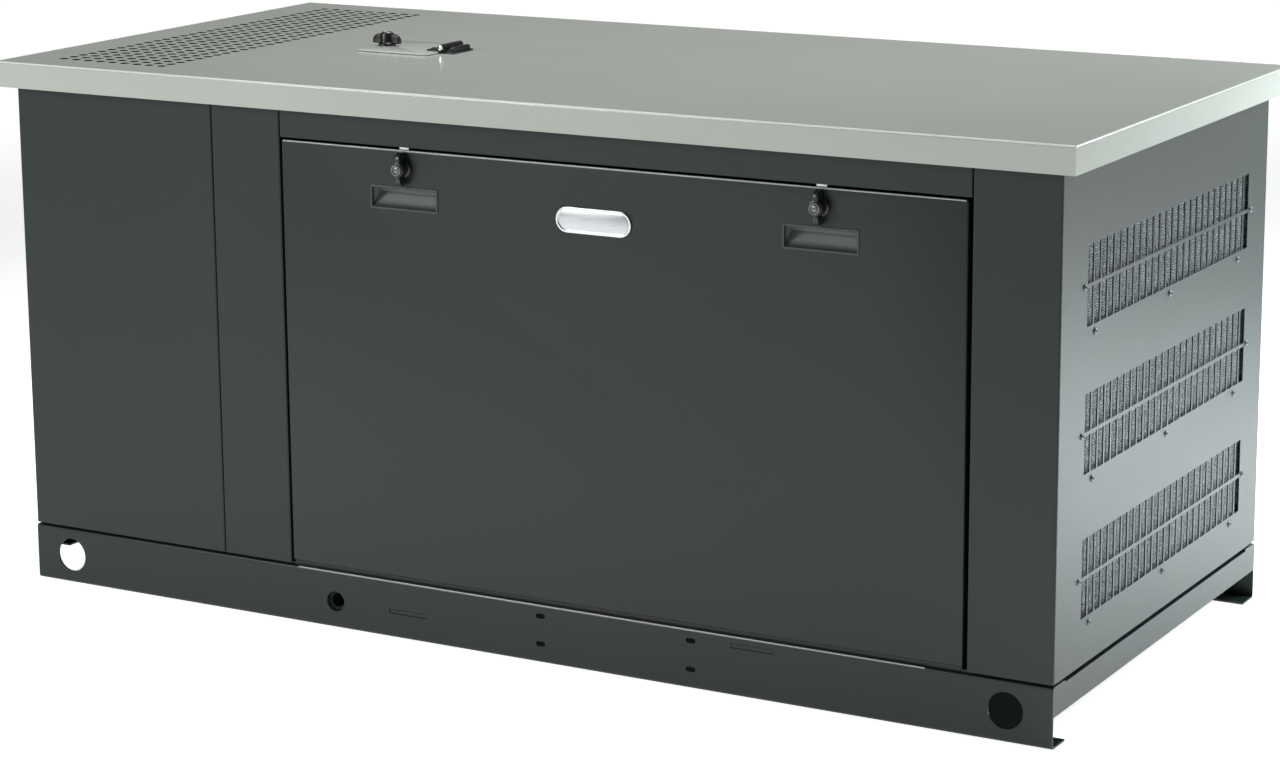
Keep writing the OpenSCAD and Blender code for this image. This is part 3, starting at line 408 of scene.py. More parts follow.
def woven_screen():
    cloth = Finish("woven_screen", metallic=0.5)
    x, y, z = cloth.axes()
    wobble = cloth.noise(60.0, 2.0) * 0.0016
    across = ((y + wobble).folded(WIRE_PITCH) - 0.5).size()
    upright = ((z + wobble).folded(WIRE_PITCH) - 0.5).size()
    wires = across.highest(upright).eased(0.24, 0.40)
    speckle = cloth.noise(330.0, 1.0).eased(0.40, 0.60)
    # Painted shade: the near black between the wires stands for the shade seen through the openings.
    cloth.colour((0.008, 0.010, 0.010), (0.40, 0.44, 0.44), wires * speckle * 0.8 + speckle * 0.2)
    cloth.roughness(0.50 - wires * 0.15)
    cloth.bump(wires + speckle * 0.8, 0.0016)
    return cloth.material


def fin_block():
    fins = Finish("fin_block", metallic=0.8)
    x, y, z = fins.axes()
    fin = (y.folded(FIN_PITCH) - 0.5).size().eased(0.15, 0.35)
    tube = (z.folded(TUBE_PITCH) - 0.5).size().eased(0.36, 0.42)
    grime = fins.noise(12.0, 4.0).eased(0.4, 0.7)
    # Painted shade: the dark between fins and tubes stands for the shade in the deep gaps; grime is
    # real dirt.
    fins.colour((0.05, 0.05, 0.05), (0.42, 0.42, 0.41), fin.highest(tube) * (1.0 - grime * 0.35))
    fins.roughness(0.45 + grime * 0.2)
    fins.bump(fin * 0.5 + tube, 0.0012)
    return fins.material


screen_cloth, fin_metal = woven_screen(), fin_block()
print("wires every", WIRE_PITCH * 1000, "mm, fins every", FIN_PITCH * 1000, "mm")

# %% [markdown]
# ## Inside the grips
# The grips are rough black plastic. Their rims are polished by many hands and stay dark, and the cups
# behind are painted lighter, a painted light on their floors, so this finish changes with the
# distance behind the face of the door.

# %% Lining of the pull cups
def cup_lining_painted_light(face_y):
    """Plastic whose polished rim is dark, while the rough inside behind it is painted lighter, a
    painted light.
    """
    lining = Finish("cup_lining_painted_light")
    x, y, z = lining.axes()
    # Painted light: the cup is painted lighter with depth behind the face of the door, for the light
    # on its floor.
    inside = (y - face_y).eased(0.003, 0.012)
    lining.colour((0.030, 0.038, 0.036), (0.165, 0.185, 0.178), inside)
    lining.roughness(lining.noise(1100.0, 1.0) * 0.1 + inside * 0.2 + 0.36)
    return lining.bump(lining.noise(1100.0, 1.0), 0.00004).material


print("finishes so far:", len(bpy.data.materials))

# %% [markdown]
# ## The stage
# The floor glows a little of its own, well near the machine, less further out and most towards the
# horizon, so that it meets the white sky without a line. The sheet under the base is painted shade,
# nearly black, with a faint painted glow for the little light that gets in there.

# %% Floor and shade
def floor_white():
    """Pale floor that glows: well near the machine, less further out, most at the horizon."""
    pale = Finish("pale_floor", specular=0.2)
    pale.colour((0.88, 0.88, 0.88), (0.91, 0.91, 0.91), pale.noise(3.0, 3.0))
    pale.roughness(0.75 + pale.noise(20.0, 2.0) * 0.1)
    x, y, z = pale.axes()
    away = x * x + y * y
    glow = 0.80 - away.eased(2.5, 6.5) * 0.28 + away.eased(12, 45) * 0.62
    pale.feed(pale.surface.inputs["Emission Color"], pale.mixed((0,) * 3, (1,) * 3, glow))
    pale.surface.inputs["Emission Strength"].default_value = 1.0
    return pale.material


def shade():
    """Painted shade: near black, with a faint painted glow for the little light that gets in under a
    base.
    """
    dim = Finish("under_shade", specular=0.1)
    dim.colour((0.010, 0.012, 0.012), (0.016, 0.019, 0.018), dim.noise(4.0, 3.0))
    # Painted light: this faint glow stands for the light that gets in under the base.
    dim.surface.inputs["Emission Color"].default_value = (0.006, 0.009, 0.008, 1)
    dim.surface.inputs["Emission Strength"].default_value = 1.0
    return dim.roughness(0.9).material


floor.data.materials.append(floor_white())
mat.data.materials.append(shade())
print("stage wears", floor.data.materials[0].name, "and", mat.data.materials[0].name)

# %% [markdown]
# ## Dressing the frame's parts
# The record names one material slot for each part. A short table turns slots into finishes, and a
# loop hands them out.

# %% Give every part its finish
FINISH_OF_SLOT = {
    "body_paint": body_paint, "roof_paint": roof_paint, "black_hardware": black_cast,
    "lock_steel": plated, "zinc_fastener": zinc, "dark_screw": dark_steel,
    "screen_wire": screen_cloth, "badge_metal": badge_metal, "rubber": rubber,
    "radiator_fins": fin_metal,
    "black_plastic": moulded, "cap_steel": zinc, "machined_steel": turned_steel,
    "cast_block": iron, "cast_head": cast_alloy, "cover_paint": satin_black,
    "hot_iron": hot_iron, "muffler_steel": can_steel, "rotor_iron": rotor_iron,
    "alternator_paint": frame_paint, "gas_iron": black_iron, "control_paint": box_paint,
    "green_plastic": green_cap, "red_plastic": red_cap, "breaker_plastic": moulded,
    "battery_plastic": moulded,
}
for part in frame["record"]["subparts"]:
    part_mesh = nodes[part["node"]].data
    part_mesh.materials.clear()
    part_mesh.materials.append(FINISH_OF_SLOT[part["material_slot"]])
nodes["roof_panel"].data.materials[0] = pierced_paint

# %% [markdown]
# ## The workbench
# Every hand-made piece starts as a block, a disc or a curve, and is shaped with the same few moves
# that a hand would make: pick faces or edges, then extrude, inset, bevel or scale. These helpers
# keep those moves short. A finished piece has its place in its mesh and its object at the origin.

# %% Taking up and putting down
def put_down():
    """Leaves edit mode and selects nothing."""
    if bpy.context.mode != "OBJECT":
        bpy.ops.object.mode_set(mode="OBJECT")
    bpy.ops.object.select_all(action="DESELECT")


def take(piece):
    """Makes one piece the only selected one."""
    put_down()
    piece.select_set(True)
    bpy.context.view_layer.objects.active = piece
    return piece


def settled(piece):
    """Moves a piece's place and turn into its mesh."""
    take(piece)
    bpy.ops.object.transform_apply(location=True, rotation=True, scale=True)
    return piece


def pick(piece, kind, wanted):
    """Selects the faces or edges whose middle and direction pass a test, in edit mode."""
    take(piece)
    bpy.ops.object.mode_set(mode="EDIT")
    bpy.ops.mesh.select_mode(type=kind)
    bpy.ops.mesh.select_all(action="DESELECT")
    mesh = bmesh.from_edit_mesh(piece.data)
    if kind == "FACE":
        for face in mesh.faces:
            face.select_set(bool(wanted(face.calc_center_median(), face.normal)))
    elif kind == "EDGE":
        for edge in mesh.edges:
            first, second = (vertex.co for vertex in edge.verts)
            edge.select_set(bool(wanted((first + second) / 2, (second - first).normalized())))
    else:
        for vertex in mesh.verts:
            vertex.select_set(bool(wanted(vertex.co, vertex.normal)))
    mesh.select_flush_mode()
    bmesh.update_edit_mesh(piece.data)


print("ready: put_down, take, settled, pick")


# %% [markdown]
# ## Three ways to start
# A block stands between two corners. A turned piece is a disc that is pulled up step by step and
# scaled at each step, as on a lathe; with `ring` it is a closed ring round a hole. The third way,
# the pipe, comes next.

# %% Block and turned piece
def block(low, high):
    """A block between two corners."""
    put_down()
    low, high = Vector(low), Vector(high)
    bpy.ops.mesh.primitive_cube_add(size=1, location=(low + high) / 2)
    bpy.context.object.scale = high - low
    return settled(bpy.context.object)


def stand(piece, at, along=(1, 0, 0), towards=(0, 0, 1)):
    """Turns a piece made round the Z axis: Z points towards, and X runs along."""
    x, z = Vector(along), Vector(towards)
    piece.matrix_world = Matrix.Translation(at) @ Matrix((x, z.cross(x), z)).transposed().to_4x4()
    return settled(piece)


def turned(profile, at=(0, 0, 0), towards=(0, 0, 1), sides=32, ring=False):
    """Pulls a disc through (radius, height) steps and stands it at a place."""
    put_down()
    radius, height = profile[0]
    bpy.ops.mesh.primitive_circle_add(vertices=sides, radius=radius, location=(0, 0, height),
                                      fill_type="NOTHING" if ring else "NGON")
    piece = settled(bpy.context.object)
    bpy.ops.object.mode_set(mode="EDIT")
    bpy.ops.mesh.select_mode(type="VERT")
    bpy.ops.mesh.select_all(action="SELECT")
    steps = list(profile[1:]) + ([profile[0]] if ring else [])
    for next_radius, next_height in steps:
        bpy.ops.mesh.extrude_region_move(
            TRANSFORM_OT_translate={"value": (0, 0, next_height - height)})
        share = next_radius / radius
        bpy.ops.transform.resize(value=(share, share, 1), center_override=(0, 0, next_height))
        radius, height = next_radius, next_height
    z = Vector(towards).normalized()
    x = Vector((0, 1, 0)) if abs(z.x) > 0.5 else Vector((1, 0, 0))
    x = (x - z * x.dot(z)).normalized()
    return stand(piece, at, x, z)


print("ready: block, stand, turned")


# %% [markdown]
# ## Pipes
# A pipe is a curve through a few points that is given a round section and becomes a mesh. Each
# corner becomes two knots with handles, and together they draw a round bend.

# %% Pipe with round bends
def pipe(points, radius, bend, rings=8, sides=5):
    """A round bar through points, with its corners bent to a radius of about `bend`."""
    put_down()
    bpy.ops.curve.primitive_bezier_curve_add()
    wire = bpy.context.object
    wire.data.splines.clear()
    points = [Vector(p) for p in points]
    stops = [(points[0], (points[1] - points[0]).normalized() * bend * 0.2)]
    for before, corner, after in zip(points, points[1:], points[2:]):
        arrive = (corner - before).normalized() * bend
        leave = (after - corner).normalized() * bend
        stops += [(corner - arrive, arrive * 0.55), (corner + leave, leave * 0.55)]
    stops.append((points[-1], (points[-1] - points[-2]).normalized() * bend * 0.2))
    spline = wire.data.splines.new("BEZIER")
    spline.bezier_points.add(len(stops) - 1)
    for knot, (place, pull) in zip(spline.bezier_points, stops):
        knot.handle_left_type = knot.handle_right_type = "FREE"
        knot.co, knot.handle_left, knot.handle_right = place, place - pull, place + pull
    wire.matrix_world = Matrix.Identity(4)
    wire.data.dimensions = "3D"
    wire.data.bevel_depth, wire.data.bevel_resolution = radius, sides
    wire.data.resolution_u, wire.data.use_fill_caps = rings, True
    bpy.ops.object.convert(target="MESH")
    return settled(bpy.context.object)


print("ready: pipe")


# %% [markdown]
# ## Finishing moves
# Real edges are never perfectly sharp, so nearly every piece gets a small bevel, which also catches
# the light. Sheets get their thickness from a modifier, and holes are cut with a tool piece. Each
# modifier is applied at once.

# %% Rounding, thickening, cutting
def rounded(piece, width, segments=2, degrees=35):
    """Bevels every edge that is sharper than an angle."""
    take(piece)
    bpy.ops.object.modifier_add(type="BEVEL")
    soft = piece.modifiers[-1]
    soft.width, soft.segments, soft.angle_limit = width, segments, math.radians(degrees)
    bpy.ops.object.modifier_apply(modifier=soft.name)
    return piece


def thickened(piece, thickness):
    """Gives an open sheet a thickness behind its outer face."""
    take(piece)
    bpy.ops.object.modifier_add(type="SOLIDIFY")
    wall = piece.modifiers[-1]
    wall.thickness, wall.offset, wall.use_even_offset = thickness, -1, True
    bpy.ops.object.modifier_apply(modifier=wall.name)
    return piece


def cut(piece, tool):
    """Takes the tool's shape out of the piece."""
    take(piece)
    bpy.ops.object.modifier_add(type="BOOLEAN")
    hole = piece.modifiers[-1]
    hole.object, hole.operation, hole.solver = tool, "DIFFERENCE", "EXACT"
    bpy.ops.object.modifier_apply(modifier=hole.name)
    take(tool)
    bpy.ops.object.delete()
    return piece


print("ready: rounded, thickened, cut")


# %% [markdown]
# ## Many from one
# Copies are made by duplicating, each with its own mesh. Loose parts that one piece holds are
# joined, also when they stand in a ring, as bolts and blades do.

# %% Copying and joining
def copied(piece, shift=(0, 0, 0)):
    """A copy with its own mesh, moved by a shift."""
    take(piece)
    bpy.ops.object.duplicate(linked=False)
    bpy.context.object.location = shift
    return settled(bpy.context.object)


def joined(*parts):
    """Joins loose parts into the first one."""
    put_down()
    for part in parts:
        part.select_set(True)
    bpy.context.view_layer.objects.active = parts[0]
    bpy.ops.object.join()
    return parts[0]


def ring_of(piece, count, centre, axis="X"):
    """Copies a part evenly round an axis and joins the copies."""
    parts = [piece]
    for i in range(1, count):
        part = copied(piece)
        turn = Matrix.Rotation(2 * math.pi * i / count, 4, axis)
        part.matrix_world = Matrix.Translation(centre) @ turn @ Matrix.Translation(-Vector(centre))
        parts.append(settled(part))
    return joined(*parts)


print("ready: copied, joined, ring_of")


# %% [markdown]
# ## Finished pieces
# The last helper closes the mesh, smooths it, names the piece, gives it its finish and sets it on
# its body. A piece that stands for a part of the frame replaces that part.

# %% Naming and painting
def done(piece, name, body, finish, stands_for=(), smooth=35):
    """Closes, smooths, names and paints a piece, and sets it on its body."""
    settled(piece)
    bpy.ops.object.mode_set(mode="EDIT")
    bpy.ops.mesh.select_all(action="SELECT")
    bpy.ops.mesh.remove_doubles(threshold=0.000002)
    bpy.ops.mesh.normals_make_consistent(inside=False)
    bpy.ops.object.mode_set(mode="OBJECT")
    bpy.ops.object.shade_smooth_by_angle(angle=math.radians(smooth))
    piece.name = piece.data.name = name
    piece.data.materials.clear()
    piece.data.materials.append(finish)
    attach(piece, body)
    if stands_for:
        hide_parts(*stands_for)
    print(name, "on", body + ":", len(piece.data.polygons), "faces")
    return piece


print("ready: done")


# %% [markdown]
# ## Reading places from the frame
# A node may hold several separate solids, such as the two grips or all the screws. The helper finds
# them by gathering the mesh's points into groups, and gives the box of each.

# %% Boxes of nodes and of their solids
def corners(node):
    """The lowest and highest corner of a node."""
    return [Vector(corner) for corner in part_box(node)]


def solids(node, reach):
    """The boxes of a node's separate solids, where each is smaller than `reach`."""
    groups = []
    for vertex in nodes[node].data.vertices:
        place = vertex.co.copy()
        for group in groups:
            if (group[0] - place).length < reach:
                group.append(place)
                break
        else:
            groups.append([place])
    boxes = [[Vector(map(pick_end, zip(*group))) for pick_end in (min, max)] for group in groups]
    return sorted(boxes, key=lambda box: tuple(box[0]))


print("grips:", len(solids("door_grips", 0.2)), "screws:", len(solids("panel_screws", 0.02)))


# %% [markdown]
# ## The service door
# The door is a shallow pan: one sheet with its four sides folded back. Its folds are what the eye
# sees, as thin bright lines round the door, so the pan is made again here with a round fold on all
# sides. It is a block without a back, bevelled, thickened, and cut open for the grips and locks.

# %% Door pan
SHEET, FOLD, LOCK_BORE = 0.002, 0.003, 0.011
door_low, door_high = corners("front_door")
cup_boxes = solids("door_grips", 0.2)
lock_boxes = [corners(node) for node in ("left_wing_lock", "right_wing_lock")]
lock_spots = [Vector(((low.x + high.x) / 2, door_low.y, (low.z + high.z) / 2))
              for low, high in lock_boxes]

pan = block(door_low, door_high)
pick(pan, "FACE", lambda at, normal: normal.y > 0.9)
bpy.ops.mesh.delete(type="FACE")
pick(pan, "EDGE", lambda middle, way: middle.y < door_low.y + SHEET or abs(way.y) > 0.9)
bpy.ops.mesh.bevel(offset=FOLD, segments=5, affect="EDGES")
thickened(pan, SHEET)
for low, high in cup_boxes:
    edge = Vector((0.0035, 0.01, 0.0035))
    cut(pan, block(low + edge.reflect(Vector((0, 1, 0))), high - edge + Vector((0, 0.02, 0))))
for spot in lock_spots:
    cut(pan, turned([(LOCK_BORE, -0.01), (LOCK_BORE, 0.01)], spot, (0, -1, 0)))
done(pan, "door_pan", "front_door", body_paint, ["front_door"], smooth=30)

# %% [markdown]
# ## Two bright edges
# The fold on top of the door and the one on the rail under it draw the brightest lines of the long
# front. Both are sharp in the frame, so a slim bead lies along each of them, in a far paler paint
# that is a painted highlight.

# %% Beads on the door and on its sill
BEAD = 0.0013


def edge_bead(name, body, x0, x1, y, z):
    """A slim bar along X that stands for a round fold, in a paler paint that is a painted highlight.
    """
    bead = pipe([(x0, y, z), (0.2, y, z), (x1, y, z)], BEAD, 0.01)
    return done(bead, name, body, fold_highlight_paint)


edge_bead("door_top_bead", "front_door", door_low.x + 0.003, door_high.x - 0.003,
          door_low.y + BEAD - 0.0001, door_high.z - BEAD + 0.0006)
rail_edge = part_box("front_base_rail")
edge_bead("door_sill_bead", "enclosure", door_low.x + 0.010, door_high.x - 0.060,
          rail_edge[0][1] + BEAD - 0.0001, rail_edge[1][2] - BEAD + 0.0002)

# %% [markdown]
# ## Pull cups
# Each grip is a pressed cup with a thin rim. Its floor slopes up towards the back, so that fingers
# find the upper edge. The rim's slab loses its back, the front is inset, pushed in, and the lower
# half of the pushed face is lifted.

# %% Two grips
def pull_cup(name, low, high):
    rim, floor_lift, wall = 0.0024, 0.021, 0.0012
    cup = block(low, (high.x, low.y + wall, high.z))
    pick(cup, "EDGE", lambda middle, way: abs(way.y) > 0.9)
    bpy.ops.mesh.bevel(offset=0.0025, segments=4, affect="EDGES")
    pick(cup, "FACE", lambda at, normal: normal.y > 0.9)
    bpy.ops.mesh.delete(type="FACE")
    pick(cup, "FACE", lambda at, normal: normal.y < -0.9)
    bpy.ops.mesh.inset(thickness=rim)
    bpy.ops.mesh.extrude_region_move(
        TRANSFORM_OT_translate={"value": (0, high.y - low.y - 2 * wall, 0)})
    middle_z = (low.z + high.z) / 2
    pick(cup, "VERT", lambda at, normal: at.y > high.y - 3 * wall and at.z < middle_z)
    bpy.ops.transform.translate(value=(0, 0, floor_lift))
    thickened(cup, wall)
    return done(rounded(cup, 0.0007), name, "front_door", cup_lining_painted_light(low.y),
                ["door_grips"] if name == "left_pull_cup" else ())


for name, (low, high) in zip(("left_pull_cup", "right_pull_cup"), cup_boxes):
    pull_cup(name, low, high)

# %% [markdown]
# ## Wing locks
# A quarter-turn lock has a round seat, a barrel and two domed wings for the fingers. In the middle
# sits a bright key cylinder: a ring, a dark gap and a plug with its keyway. The knob is a turned
# piece joined to two blocks whose outer top edge is bevelled into a quarter round.

# %% Recipes for the knob and the key cylinder
def wing_knob(name, at, along, towards, body, node):
    knob = turned([(0.0150, 0.0003), (0.0150, 0.0040), (0.0138, 0.0056), (0.0124, 0.0062),
                   (0.0120, 0.0080), (0.0120, 0.0190), (0.0113, 0.0206), (0.0100, 0.0210),
                   (0.0093, 0.0207), (0.0090, 0.0195)], sides=40)
    wings = []
    for side in (-1, 1):
        near, far = sorted((side * 0.0095, side * 0.0270))
        wing = block((near, -0.0045, 0.0035), (far, 0.0045, 0.0195))
        pick(wing, "EDGE", lambda middle, way: abs(way.y) > 0.9 and middle.z > 0.015
             and abs(middle.x) > 0.02)
        bpy.ops.mesh.bevel(offset=0.0125, segments=8, affect="EDGES")
        wings.append(rounded(wing, 0.0016, 3))
    stand(joined(knob, *wings), at, along, towards)
    done(knob, name + "_wing_knob", body, black_cast, [node])
    key_cylinder(name, at, along, towards, body)


def key_cylinder(name, at, along, towards, body):
    place = Vector(at) + Vector(towards) * 0.0005
    rim = turned([(0.0089, 0.0200), (0.0089, 0.0219), (0.0083, 0.0225), (0.0070, 0.0225),
                  (0.0064, 0.0219), (0.0064, 0.0200)], place, towards, ring=True)
    done(rim, name + "_key_rim", body, lock_face)
    gap = turned([(0.0070, 0.0200), (0.0070, 0.0216), (0.0050, 0.0216)], place, towards)
    done(gap, name + "_key_gap", body, black_cast)
    plug = turned([(0.0048, 0.0200), (0.0048, 0.0221), (0.0043, 0.0224)])
    cut(plug, block((-0.0007, -0.0032, 0.0210), (0.0007, 0.0032, 0.0240)))
    stand(plug, place, along, towards)
    done(plug, name + "_key_plug", body, lock_face)


print("ready: wing_knob, key_cylinder")

# %% [markdown]
# ## Three locks
# The two door locks stand with their wings upright, and the lock of the roof flap lies along the
# length of the machine. Each knob stands where the frame has its own.

# %% Locks on the door and on the flap
OUT, UPWARDS = (0, -1, 0), (0, 0, 1)
for side, spot in zip(("left", "right"), lock_spots):
    wing_knob(side, spot, UPWARDS, OUT, side + "_lock", side + "_wing_lock")
hatch_knob_low, hatch_knob_high = corners("hatch_wing_lock")
hatch_spot = (hatch_knob_low + hatch_knob_high) / 2
flap_top = corners("roof_hatch")[1].z
hatch_spot.z = hatch_knob_low.z - 0.0003 if hatch_knob_low.z > flap_top else flap_top
wing_knob("hatch", hatch_spot, (1, 0, 0), UPWARDS, "hatch_lock", "hatch_wing_lock")

# %% [markdown]
# ## The trim badge
# The plate is plain: round ends, a raised bright border and a brushed field. A block's four
# corner edges are bevelled by almost half its height, which makes the round ends.

# %% Badge border and field
badge_low, badge_high = corners("badge_plate")
badge_r = (badge_high.z - badge_low.z) / 2 - 0.0002


def brushed_field():
    """Aluminium brushed along its length."""
    plate = Finish("brushed_field", metallic=1.0)
    strokes = plate.noise(900.0, 3.0, (0.04, 1, 1))
    plate.colour((0.40, 0.42, 0.43), (0.60, 0.62, 0.63), strokes)
    plate.roughness(strokes * 0.15 + 0.28)
    return plate.bump(strokes, 0.00003).material


def stadium(low, high, radius):
    plate = block(low, high)
    pick(plate, "EDGE", lambda middle, way: abs(way.y) > 0.9)
    bpy.ops.mesh.bevel(offset=radius, segments=14, affect="EDGES")
    return plate


border = stadium(badge_low, badge_high, badge_r)
pick(border, "FACE", lambda at, normal: normal.y < -0.9)
bpy.ops.mesh.inset(thickness=0.0035)
bpy.ops.mesh.extrude_region_move(TRANSFORM_OT_translate={"value": (0, 0.0016, 0)})
done(rounded(border, 0.0006, 3, 50), "badge_border", "front_door", badge_metal,
     ["badge_plate"])
inner = Vector((0.0045, 0, 0.0045))
field = stadium(badge_low + inner + Vector((0, 0.0010, 0)), badge_high - inner, badge_r - inner.z)
done(rounded(field, 0.0004, 2, 50), "badge_field", "front_door", brushed_field())

# %% [markdown]
# ## Screws
# The screens and the rear panels are held by low button-head screws with a round socket. One head
# is turned once for each place that the frame gives, and all of them become one piece.

# %% Button heads where the frame has its screws
BUTTON = [(0.0052, 0), (0.0052, 0.0007), (0.0046, 0.0017), (0.0034, 0.0025), (0.0022, 0.0027),
          (0.0020, 0.0026), (0.0020, 0.0013)]


def button_head(at, towards):
    return turned(BUTTON, at, towards, 20)


heads = []
for low, high in solids("panel_screws", 0.02):
    middle = (low + high) / 2
    if high.x - low.x < high.y - low.y:
        heads.append(button_head((low.x, middle.y, middle.z), (1, 0, 0)))
    else:
        heads.append(button_head((middle.x, low.y, middle.z), (0, 1, 0)))
done(joined(*heads), "panel_button_heads", "enclosure", dark_steel,
     ["panel_screws"])

# %% [markdown]
# ## The hatch hinge
# The hinge is a small cast one. Its fixed leaf carries two knuckles and a round rib, the other leaf
# lies on the flap and carries the middle knuckle, and a bright pin runs through all three.

# %% Knuckles and fixed leaf
pin_low, pin_high = corners("hatch_hinge")
flap_low, flap_high = corners("hatch_hinge_leaf")
KNUCKLE = 0.006
pin_axis = Vector((pin_low.x + KNUCKLE, (pin_low.y + pin_high.y) / 2, pin_high.z - KNUCKLE))
third = (pin_high.y - pin_low.y) / 3


def knuckle(y0, y1):
    profile = [(KNUCKLE - 0.0006, 0), (KNUCKLE, 0.0006), (KNUCKLE, y1 - y0 - 0.0006),
               (KNUCKLE - 0.0006, y1 - y0)]
    return turned(profile, (pin_axis.x, y0, pin_axis.z), (0, 1, 0), 28)


def capsule(radius, y0, y1, x, z):
    """A bar along Y with domed ends."""
    rise = [(radius * math.sin(a), radius - radius * math.cos(a)) for a in (0.35, 0.75, 1.15, 1.57)]
    length = y1 - y0
    return turned(rise + [(r, length - h) for r, h in reversed(rise)], (x, y0, z), (0, 1, 0), 24)


leaf = rounded(block((pin_axis.x + KNUCKLE + 0.0004, pin_low.y, pin_low.z),
                     (pin_high.x, pin_high.y, pin_low.z + 0.003)), 0.0010, 3)
web = rounded(block((pin_axis.x + 0.001, pin_low.y + 0.001, pin_axis.z - KNUCKLE + 0.0003),
                    (pin_axis.x + KNUCKLE + 0.002, pin_low.y + third - 0.001, pin_axis.z - 0.002)),
              0.0006)
far_web = copied(web, (0, 2 * third, 0))
rib = capsule(0.0052, pin_low.y + 0.002, pin_high.y - 0.002, pin_high.x - 0.008, pin_low.z + 0.0058)
fixed_screws = [button_head((pin_axis.x + 0.0115, pin_axis.y + side * third, pin_low.z + 0.003),
                            UPWARDS) for side in (-1, 1)]
fixed_leaf = joined(leaf, web, far_web, rib, knuckle(pin_low.y, pin_low.y + third),
                    knuckle(pin_high.y - third, pin_high.y), *fixed_screws)
done(fixed_leaf, "hinge_fixed_leaf", "enclosure", black_cast, ["hatch_hinge"])

# %% [markdown]
# ## The hinge's other half
# The leaf on the flap turns with it, so it is a piece of its own with the middle knuckle. The pin
# has a domed head at each end and stays with the fixed leaf.

# %% Flap's leaf and pin
flap_leaf = rounded(block((flap_low.x, flap_low.y, flap_low.z),
                          (pin_axis.x - KNUCKLE - 0.0004, flap_high.y, flap_low.z + 0.003)),
                    0.0010, 3)
middle_y0, middle_y1 = pin_axis.y - third / 2, pin_axis.y + third / 2
flap_web = rounded(block((pin_axis.x - KNUCKLE - 0.001, middle_y0 + 0.001, flap_low.z + 0.0002),
                         (pin_axis.x - 0.001, middle_y1 - 0.001, pin_axis.z - 0.002)), 0.0006)
flap_screws = [button_head((flap_low.x + 0.009, pin_axis.y + side * third, flap_low.z + 0.003),
                           UPWARDS) for side in (-1, 1)]
done(joined(flap_leaf, flap_web, knuckle(middle_y0 + 0.0004, middle_y1 - 0.0004), *flap_screws),
     "hinge_flap_leaf", "roof_hatch", black_cast, ["hatch_hinge_leaf"])

PIN_HEAD = [(0.0030, 0), (0.0044, 0.0006), (0.0048, 0.0018), (0.0048, 0.0030)]
pin_span = pin_high.y - pin_low.y
pin = turned(PIN_HEAD + [(0.0024, 0.0030), (0.0024, 0.0030 + pin_span)]
             + [(r, 0.0060 + pin_span - h) for r, h in reversed(PIN_HEAD)],
             (pin_axis.x, pin_low.y - 0.0030, pin_axis.z), (0, 1, 0), 24)
done(pin, "hinge_pin", "enclosure", plated)

# %% [markdown]
# ## The roof's rolled edge
# The sheet is folded down on four sides, and the fold is round. A slim bead along the edge of the
# roof stands for that fold, and its pale paint is a painted highlight that draws the light line round
# it.

# %% Bead round the roof
x, y, z = roof_high.x - BEAD + 0.0003, roof_high.y - BEAD + 0.0003, roof_high.z - BEAD + 0.0003
corner_list = [(-x, -y, z), (x, -y, z), (x, y, z), (-x, y, z), (-x, -y, z)]
beads = [pipe([a, ((a[0] + b[0]) / 2, (a[1] + b[1]) / 2, z), b], BEAD, 0.01)
         for a, b in zip(corner_list, corner_list[1:])]
done(joined(*beads), "roof_edge_bead", "enclosure", roof_highlight_paint)

# %% [markdown]
# ## The roof flap
# The flap over the coolant filler is a small plate whose front edge is rolled a little, so that it
# draws one bright line on the roof. A slim bead stands for the roll, and its pale paint is a painted
# highlight. The plate has a round hole for the shaft of its lock.

# %% Flap plate
plate_low, plate_high = corners("roof_hatch")
flap = block(plate_low, plate_high)
pick(flap, "EDGE", lambda middle, way: abs(way.z) > 0.9)
bpy.ops.mesh.bevel(offset=0.006, segments=5, affect="EDGES")
cut(flap, turned([(0.0112, -0.01), (0.0112, 0.01)], hatch_spot))
line_y, line_z = plate_low.y + 0.0009, plate_high.z - 0.0007
fold = pipe([(plate_low.x + 0.006, line_y, line_z), (-0.42, line_y, line_z),
             (plate_high.x - 0.006, line_y, line_z)], 0.0011, 0.01)
done(fold, "flap_fold", "roof_hatch", roof_highlight_paint)
done(rounded(flap, 0.0009, 3), "flap_plate", "roof_hatch", roof_paint,
     ["roof_hatch"])

# %% [markdown]
# ## Sound foam in the door
# Behind the sheet the door carries foam with a field of small pyramids, which swallows engine
# noise. The block's inner face is cut into cells, and each cell is inset and pushed out on its own.

# %% Foam pad with pyramids
FOAM_X, FOAM_Z = 44, 22
foam_top = cup_boxes[0][0].z - 0.012
pad = block((door_low.x + 0.030, door_low.y + SHEET + 0.0002, door_low.z + 0.025),
            (door_high.x - 0.030, door_low.y + 0.009, foam_top))
pick(pad, "EDGE", lambda middle, way: abs(way.x) > 0.9 and middle.y > door_low.y + 0.005)
bpy.ops.mesh.subdivide(number_cuts=FOAM_X - 1)
pick(pad, "EDGE", lambda middle, way: abs(way.z) > 0.9 and middle.y > door_low.y + 0.005)
bpy.ops.mesh.subdivide(number_cuts=FOAM_Z - 1)
pick(pad, "FACE", lambda at, normal: normal.y > 0.9)
bpy.ops.mesh.inset(thickness=0.0095, depth=0.0065, use_individual=True)
done(pad, "door_foam", "front_door", foam, smooth=70)

# %% [markdown]
# ## Fasteners for the machinery
# Engine parts are held by hexagon bolts with a washer. The bolt is turned with six sides, and the
# washer with many. A hose is held by a steel band, which a small worm screw draws tight.

